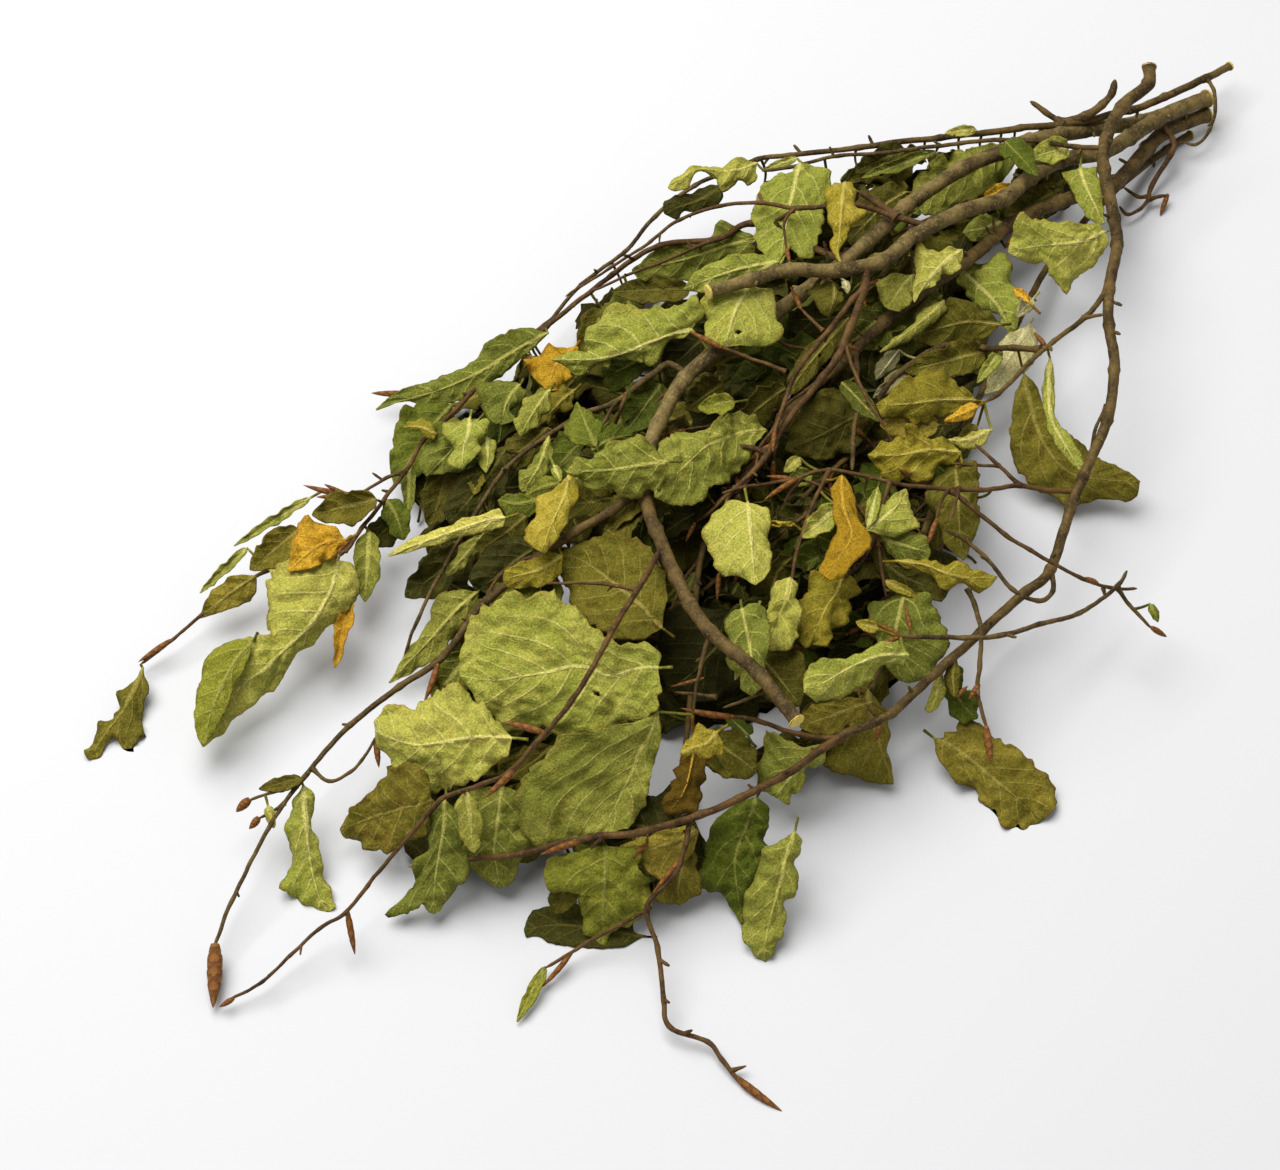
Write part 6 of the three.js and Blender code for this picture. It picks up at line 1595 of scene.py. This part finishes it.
def dried(points, reach, opening, u, v, entry, draw):
    """Adds the relief to a blade's surface. Returns its points and the vein phase."""
    length = (entry["tip"] - entry["base"]).length
    normal = unit(np.cross(np.gradient(points, axis=1), np.gradient(points, axis=0)))
    pairs = max(5, round(length / VEIN_SPACING))
    uneven = draw.uniform(0.03, 0.09) * np.sin(2 * math.pi * (u * draw.uniform(1, 2) + draw.random()))
    vein = (u - VEIN_LEAN * reach / length - 0.05 * v**2 + uneven * np.abs(v)) * pairs
    crumple = entry["crumple"] * min(1.0, reach.max() / FULL_SIZE)
    live = np.sin(math.pi * u)**0.7
    own = Vector((draw.random(), draw.random(), draw.random()))
    bumps = np.array([
        BUCKLE * noise.noise((Vector(p) + own) * BUCKLES_PER_METRE)
        + FOLD_DEPTH * folded_noise(Vector(p) + own, FOLDS_PER_METRE)
        + CREASE * folded_noise(Vector(p), CREASES_PER_METRE)
        for p in points.reshape(-1, 3)
    ]).reshape(vein.shape)
    turn = 2 * math.pi * (draw.uniform(1.5, 3.0) * u + 0.3 * np.sign(v) + draw.random())
    waves = np.abs(v)**2.5 * (np.sin(turn) + 0.5 * np.sin(2.3 * turn + v))
    lift = bumps * opening * min(1.4, crumple) * np.clip(3 * live, 0, 1)
    lift = lift + WAVE * crumple * waves * live
    lift = lift - PLEAT * np.cos(2 * math.pi * vein) * np.clip(2.5 * np.abs(v), 0, 1) * opening
    return points + normal * lift[..., None], vein


print("buckles of", BUCKLE / MM, "mm, creases of", CREASE / MM, "mm")

# %% [markdown]
# ## Closing the sheet
#
# A real leaf has two faces and an edge. The sheet's points are moved half its thickness to each side
# along its own normals, and wherever a cell has no neighbour, at the margin or around a hole, a rim
# face joins the two. The stalk and the midrib are one tapering tube that runs up the middle.

# %% Build a leaf with its stalk
CELL = 0.9 * MM
COARSE_CELL = 1.7 * MM
LOW_CELL = 2.4 * MM
SHEET = 0.16 * MM
STALK_RADIUS = 0.6 * MM
MIDRIB_START = 0.5 * MM
MIDRIB_END = 0.14 * MM
MIDRIB_REACH = 0.93
TABLE_GAP = 0.05 * MM
STALK_VALUES = {"vein": 0.0, "rib": 9.0, "margin": 1.0, "along": 0.2, "shift": -0.25}
RIB_VALUES = {"vein": 0.0, "rib": 0.2, "margin": 0.0, "along": 0.2, "shift": 0.0}
STALK_SIDES = 6
LONGEST_STALK = 14 * MM
SHORT_STALK = 5 * MM


def sheet_faces(kept, columns, layer):
    """Faces of both sides of the kept cells and of every rim."""
    i, j = np.nonzero(kept)
    a = i * columns + j
    b, c, d = a + 1, a + columns + 1, a + columns
    faces = [np.stack((a, b, c, d), 1), np.stack((a, d, c, b), 1) + layer]
    room = np.pad(kept, 1)
    for di, dj, start, end in ((-1, 0, a, b), (0, 1, b, c), (1, 0, c, d), (0, -1, d, a)):
        bare = ~room[i + 1 + di, j + 1 + dj]
        first, second = start[bare], end[bare]
        faces.append(np.stack((second, first, first + layer, second + layer), 1))
    return np.concatenate(faces)


def leaf_shape(entry, seed, cell=CELL):
    """The points, faces and values of a whole leaf: the closed blade, its stalk and its midrib."""
    draw = random.Random(seed)
    forward = np.array((entry["tip"] - entry["base"]).normalized())
    facing = square_to(np.array((0, 0, 1.0)) if entry["flat"] else np.array(towards_viewer), forward)
    roll = math.radians(entry["roll"])
    facing = facing * math.cos(roll) + np.cross(forward, facing) * math.sin(roll)
    length = (entry["tip"] - entry["base"]).length
    rows = max(10, round(length / cell))
    columns = 2 * max(4, round(entry["width"] * MM / 2 / cell)) + 1
    u = np.linspace(0, 1, rows)[:, None]
    v = np.linspace(-1, 1, columns)[None, :]
    surface = margin_surface if entry["margins"] else oval_surface
    grid, reach, opening = surface(entry, facing, u, v, seed)
    grid, vein = dried(grid, reach, opening, u, v, entry, draw)
    normals = unit(np.cross(np.gradient(grid, axis=1), np.gradient(grid, axis=0)))

    kept = np.ones((rows - 1, columns - 1), bool)
    if entry["hole"]:
        along, across, radius = entry["hole"]
        middle = grid[round(along * (rows - 1)), round((across + 1) / 2 * (columns - 1))]
        kept = np.linalg.norm((grid[:-1, :-1] + grid[1:, 1:]) / 2 - middle, axis=-1) > radius * MM
    layer = rows * columns
    points = np.concatenate(((grid + normals * SHEET).reshape(-1, 3), (grid - normals * SHEET).reshape(-1, 3)))
    faces = sheet_faces(kept, columns, layer).tolist()
    # Painted light and shade: a leaf given a light is lightened or darkened as a whole by it; any other leaf gets a
    # random tone of its own.
    values = {
        "vein": vein, "rib": np.sign(v) * reach / MM, "margin": np.abs(v) * np.ones_like(u),
        "along": u * np.ones_like(v), "shift": np.full(vein.shape, entry["light"] - 1 if entry["light"] else draw.uniform(-0.2, 0.12)),
    }

    middle = grid[:, columns // 2]
    foot = nearest_on_twigs(middle[0], forward)
    stalk_length = np.linalg.norm(middle[0] - foot)
    if stalk_length > LONGEST_STALK:
        foot = middle[0] - forward * SHORT_STALK - facing * SHORT_STALK / 2
        stalk_length = SHORT_STALK
    steps = max(4, round(stalk_length / (2 * MM)))
    stalk = [
        foot + (middle[0] - foot) * share - facing * math.sin(math.pi * share) * stalk_length * 0.15
        for share in np.linspace(0, 1, steps, endpoint=False)
    ]
    rib = middle[:round(MIDRIB_REACH * rows):2]
    radii = np.concatenate((
        np.linspace(STALK_RADIUS, MIDRIB_START, len(stalk)), np.linspace(MIDRIB_START, MIDRIB_END, len(rib))))
    tube_points, tube_faces = tube(np.concatenate((stalk, rib)), radii, STALK_SIDES)
    faces += [[corner + len(points) for corner in face] for face in tube_faces]
    points = np.concatenate((points, tube_points))
    points[:, 2] = np.maximum(points[:, 2], TABLE_GAP)
    values = {
        label: np.concatenate((
            np.tile(numbers.reshape(-1), 2), np.full(len(stalk) * STALK_SIDES, STALK_VALUES[label]),
            np.full(len(rib) * STALK_SIDES, RIB_VALUES[label])))
        for label, numbers in values.items()
    }
    return points, faces, values


def joined(shapes):
    """Several shapes as the points, faces and values of one."""
    starts = np.cumsum([0] + [len(points) for points, _, _ in shapes])
    faces = [[corner + start for corner in face] for start, (_, own, _) in zip(starts, shapes) for face in own]
    values = {label: np.concatenate([own[label] for _, _, own in shapes]) for label in shapes[0][2]}
    return np.concatenate([points for points, _, _ in shapes]), faces, values


twig_points = np.array([point for entry in TWIGS for path, _ in entry["paths"] for point in path])


def nearest_on_twigs(place, forward):
    """The nearest point of a twig that isn't in front of a leaf, where its stalk can start."""
    ahead = np.maximum(0, (twig_points - place) @ forward)
    return twig_points[np.argmin(np.linalg.norm(twig_points - place, axis=1) + 2 * ahead)]


print(len(twig_points), "points on the twigs for stalks to grow from")

# %% Make the leaves
triangles = 0
for number, entry in enumerate(LEAVES):
    points, faces, values = leaf_shape(entry, number)
    made = solid(entry["name"] + "_blade", points, faces, TONES[entry["tone"]], values)
    keep(made)
    triangles += triangle_count(made)
print(f"{len(LEAVES)} leaves, {triangles} triangles")

# %% [markdown]
# ## Leaves inside the bunch
#
# Between the leaves that can be told apart, the bunch is filled with more: crumpled, mostly seen in part,
# and mostly in the dark tones and painted darker still, for the shade inside the bunch. They aren't listed
# one by one. Each grows from a point on a twig inside the leafy part, points roughly away from the cut ends
# and a little down, and keeps its distance from the ones before it, so that they spread evenly. One piece
# holds all of one tone.

# %% Fill the bunch
LEAFY_PART = (
    (757, 190), (770, 175), (850, 165), (950, 150), (1040, 140), (1095, 150), (1085, 200), (1010, 235),
    (1000, 280), (1010, 340), (985, 400), (990, 470), (985, 540), (950, 600), (925, 650), (890, 700),
    (870, 770), (800, 790), (780, 900), (700, 890), (640, 925), (560, 920), (500, 870), (420, 880),
    (360, 820), (400, 740), (470, 640), (400, 580), (395, 520), (395, 430), (450, 390), (550, 340),
    (620, 280), (700, 248), (755, 226),
)
GAPS = (
    (670, 745, 18, 58), (732, 790, 34, 18), (738, 812, 9, 10), (898, 686, 22, 16), (600, 402, 20, 15),
    (1008, 442, 9, 17), (428, 522, 15, 16), (513, 486, 6, 15), (573, 530, 12, 14), (968, 376, 14, 16),
    (679, 423, 10, 9), (863, 474, 9, 8),
)
INNER_TONES_DARKENED_FOR_SHADE = ("dark_leaf", "dark_leaf", "olive_leaf", "olive_leaf", "green_leaf", "vivid_leaf")
LOW_TONES_DARKENED_FOR_SHADE = ("dark_leaf", "dark_leaf", "dark_leaf", "olive_leaf")
INNER_COUNT = 150
LOW_COUNT = 170
TRIES = 9000
LEAST_APART = 21
AWAY = (-photo_right * 0.8 - photo_up * 0.55).normalized()
HIGHEST_INNER = 52 * MM


def in_leafy_part(across, down):
    """Whether a place in the picture is in the leafy part and in none of its gaps."""
    odd = False
    for (x0, y0), (x1, y1) in zip(LEAFY_PART, LEAFY_PART[1:] + LEAFY_PART[:1]):
        if (y0 > down) != (y1 > down) and across < x0 + (x1 - x0) * (down - y0) / (y1 - y0):
            odd = not odd
    open_here = any(((across - x) / rx)**2 + ((down - y) / ry)**2 < 1 for x, y, rx, ry in GAPS)
    return odd and not open_here


IN_FRONT = {}
PATCH = 9
BEHIND = 1.5 * MM
MOST_OF_LEAF_IN_FRONT = 0.02
MOST_OF_TWIGLET_IN_FRONT = 0.15


def seen_patches(points):
    """The small patch of the picture that each point falls in, and the point's distance from the eye."""
    sight = np.asarray(points) - np.array(eye)
    scale = -FOCAL_LENGTH / (sight @ np.array(towards_viewer))
    across = np.floor((PHOTO_CENTRE[0] + scale * (sight @ np.array(photo_right))) / PATCH).astype(int)
    down = np.floor((PHOTO_CENTRE[1] - scale * (sight @ np.array(photo_up))) / PATCH).astype(int)
    return zip(zip(across.tolist(), down.tolist()), np.linalg.norm(sight, axis=1).tolist())


def note_in_front(points):
    """Notes how near the listed leaves and twigs come in every patch of the picture."""
    for patch, distance in seen_patches(points):
        IN_FRONT[patch] = min(distance, IN_FRONT.get(patch, distance))


def covers_something(points, most):
    """Whether more than a share of a shape would stand in front of a listed leaf or twig."""
    before = [distance < IN_FRONT.get(patch, 0) + BEHIND for patch, distance in seen_patches(points)]
    return sum(before) > most * len(before)


for thing in bpy.context.scene.objects:
    if thing.name.endswith(("_bark", "_blade", "_buds")) and not thing.name.startswith("under_twig"):
        note_in_front([corner.co for corner in thing.data.vertices])
print(len(IN_FRONT), "patches of the picture show a listed leaf or twig")


def growing_leaf(draw):
    """A leaf that grows from a random point on a twig. Returns its base and tip."""
    start = Vector(draw.choice(twig_points))
    heading = Vector((draw.gauss(0, 1), draw.gauss(0, 1), draw.gauss(0, 0.35)))
    heading = (AWAY * draw.uniform(0.6, 2.2) + heading).normalized()
    length = draw.uniform(26, 44) * MM
    base = start + heading * draw.uniform(4, 9) * MM + Vector((0, 0, draw.uniform(-9, -1) * MM))
    tip = base + heading * length
    tip.z = base.z + draw.uniform(-14, 3) * MM
    return base, tip


def fallen_leaf(draw):
    """A leaf that lies on the table under the bunch. Returns its base and tip."""
    base = spot((draw.uniform(340, 1100), draw.uniform(130, 930), draw.uniform(1, 9)))
    heading = Vector((draw.gauss(0, 1), draw.gauss(0, 1), 0)).normalized()
    tip = base + heading * draw.uniform(26, 44) * MM
    tip.z = draw.uniform(0.5, 8) * MM
    return base, tip


def fill(name, make_place, tones, count, cell, seed):
    """Spreads leaves evenly through the leafy part and keeps them, one piece for each tone."""
    draw = random.Random(seed)
    centres = []
    shapes = {tone: [] for tone in tones}
    for attempt in range(TRIES):
        if len(centres) == count:
            break
        base, tip = make_place(draw)
        length = (tip - base).length
        width = draw.uniform(0.42, 0.62) * length
        sideways = (tip - base).cross(towards_viewer).normalized() * width / 2
        middle = base.lerp(tip, 0.5)
        seen = [seen_at(place) for place in (middle, base, tip, middle + sideways, middle - sideways)]
        in_height = MM / 2 <= base.z < HIGHEST_INNER and tip.z >= MM / 2
        far_enough = all(math.dist(seen[0], other) > LEAST_APART for other in centres)
        if not (in_height and far_enough and all(in_leafy_part(*place) for place in seen)):
            continue
        tone = draw.choice(tones)
        # Painted shade: each leaf inside the bunch or under it is painted darker, with a light of 0.5 to 0.95.
        entry = {
            "base": base, "tip": tip, "width": width / MM, "sway": draw.uniform(-0.1, 0.1),
            "fold": (draw.uniform(-10, 35), draw.uniform(-10, 35)), "arch": (draw.uniform(-0.1, 0.15), 0.1),
            "curl": (draw.uniform(-40, 70), draw.uniform(-40, 70)), "crumple": draw.uniform(0.9, 1.8),
            "tear": draw.uniform(0.05, 0.3), "hole": None, "flat": False, "roll": draw.uniform(-45, 45),
            "margins": None, "light": draw.uniform(0.5, 0.95),
        }
        shape = leaf_shape(entry, 1000 + attempt, cell)
        if not covers_something(shape[0], MOST_OF_LEAF_IN_FRONT):
            centres.append(seen[0])
            shapes[tone].append(shape)
    for tone, own in shapes.items():
        points, faces, values = joined(own)
        made = solid(name + tone.replace("_leaf", "_leaves"), points, faces, TONES[tone], values)
        keep(made)
        print(len(own), made.name, triangle_count(made), "triangles")


fill("inner_", growing_leaf, INNER_TONES_DARKENED_FOR_SHADE, INNER_COUNT, COARSE_CELL, 8)
fill("fallen_", fallen_leaf, LOW_TONES_DARKENED_FOR_SHADE, LOW_COUNT, LOW_CELL, 21)

# %% [markdown]
# ## Twiglets inside the bunch
#
# Every twig of a beech carries finer ones, each with a slender bud at its end. Most of them are
# hidden among the leaves and only a stretch or a bud of each shows. They are spread in the same
# way as the inner leaves, and the same node tree turns their paths into bark.

# %% Make the twiglets
TWIGLET_COUNT = 70


def twiglet(draw):
    """The knots of a fine twig that grows from a random point on a twig, bending at each knot."""
    knots = [Vector(draw.choice(twig_points))]
    heading = Vector((draw.gauss(0, 1), draw.gauss(0, 1), draw.gauss(0, 0.5)))
    heading = (AWAY * draw.uniform(0.8, 2.0) + heading).normalized()
    for _ in range(draw.choice((3, 4, 5))):
        knots.append(knots[-1] + heading * draw.uniform(6, 11) * MM)
        bend = Vector((draw.gauss(0, 1), draw.gauss(0, 1), draw.gauss(0, 1)))
        heading = (heading + bend * 0.35).normalized()
    return knots, heading


draw = random.Random(33)
paths = []
bud_shapes = []
for attempt in range(TRIES):
    if len(paths) == TWIGLET_COUNT:
        break
    knots, heading = twiglet(draw)
    point = knots[-1] + heading * draw.uniform(7, 13) * MM
    clear = all(2 * MM < knot.z < HIGHEST_INNER + 6 * MM for knot in (*knots, point))
    stem = smooth_path((1.5, 1.2, 1.0), knots, True, False)
    inside = all(in_leafy_part(*seen_at(knot)) for knot in (*knots, point))
    if clear and inside and not covers_something(stem[0], MOST_OF_TWIGLET_IN_FRONT):
        paths.append(stem)
        bud_shapes.append(bud_shape(draw.uniform(1.8, 2.6), knots[-1], point))
made = run_tree(path_object("twiglet_paths", paths), along_its_path, {
    "Ring spacing": 1.3 * MM, "Bark relief": 0.25 * MM, "Ridges per metre": 420.0,
    "Pores per square metre": 9000.0, "Pore size": 0.3 * MM, "Sides": 7, "Seed": 5,
    "Bark": BARKS["red_brown_bark"],
}, "inner_twiglets")
made.data.shade_smooth()
keep(made)
keep(made_buds("inner_buds", bud_shapes))
print(len(paths), "twiglets,", triangle_count(made), "triangles")


# %% [markdown]
# ## Camera, light and table
#
# The camera stands where the photograph was taken. One large soft light from the upper left and a
# bright even sky give the soft shadows that the photograph has on its pale table.

# %% Set the scene
def aim(thing, target):
    thing.rotation_euler = (Vector(target) - thing.location).to_track_quat("-Z", "Y").to_euler()


camera = bpy.data.objects.new("camera", bpy.data.cameras.new("camera"))
camera.data.sensor_width = 36.0
camera.data.lens = FOCAL_LENGTH * camera.data.sensor_width / PHOTO_WIDTH
camera.data.clip_start = 0.01
camera.location = eye
aim(camera, VIEWED_POINT)
bpy.context.scene.collection.objects.link(camera)
bpy.context.scene.camera = camera


def soft_light(name, across, up, towards, size, power):
    """A square light placed from the middle of the view, in metres to the right, up and towards the eye."""
    light = bpy.data.lights.new(name, "AREA")
    light.size = size
    light.energy = power
    made = bpy.data.objects.new(name, light)
    made.location = VIEWED_POINT + photo_right * across + photo_up * up + towards_viewer * towards
    aim(made, VIEWED_POINT)
    bpy.context.scene.collection.objects.link(made)


soft_light("window", -0.55, 1.35, 1.1, 1.6, 58.0)
soft_light("fill", 1.2, 0.2, 1.3, 1.2, 1.5)

world = bpy.data.worlds.new("studio")
world.use_nodes = True
world.node_tree.nodes["Background"].inputs["Color"].default_value = (1.0, 1.0, 1.0, 1.0)
world.node_tree.nodes["Background"].inputs["Strength"].default_value = 0.3
bpy.context.scene.world = world
bpy.context.scene.view_settings.view_transform = "Standard"

table_paint = bpy.data.materials.new("white table")
table_paint.use_nodes = True
table_paint.node_tree.nodes["Principled BSDF"].inputs["Base Color"].default_value = rgb(203, 203, 204)
table_paint.node_tree.nodes["Principled BSDF"].inputs["Roughness"].default_value = 0.8
TABLE_HALF = 3.0
table_corners = np.array([(-TABLE_HALF, -TABLE_HALF, 0), (TABLE_HALF, -TABLE_HALF, 0),
                          (TABLE_HALF, TABLE_HALF, 0), (-TABLE_HALF, TABLE_HALF, 0)], float)
solid("table", table_corners, [(0, 1, 2, 3)], table_paint, {})
print("camera lens", round(camera.data.lens, 2), "mm")
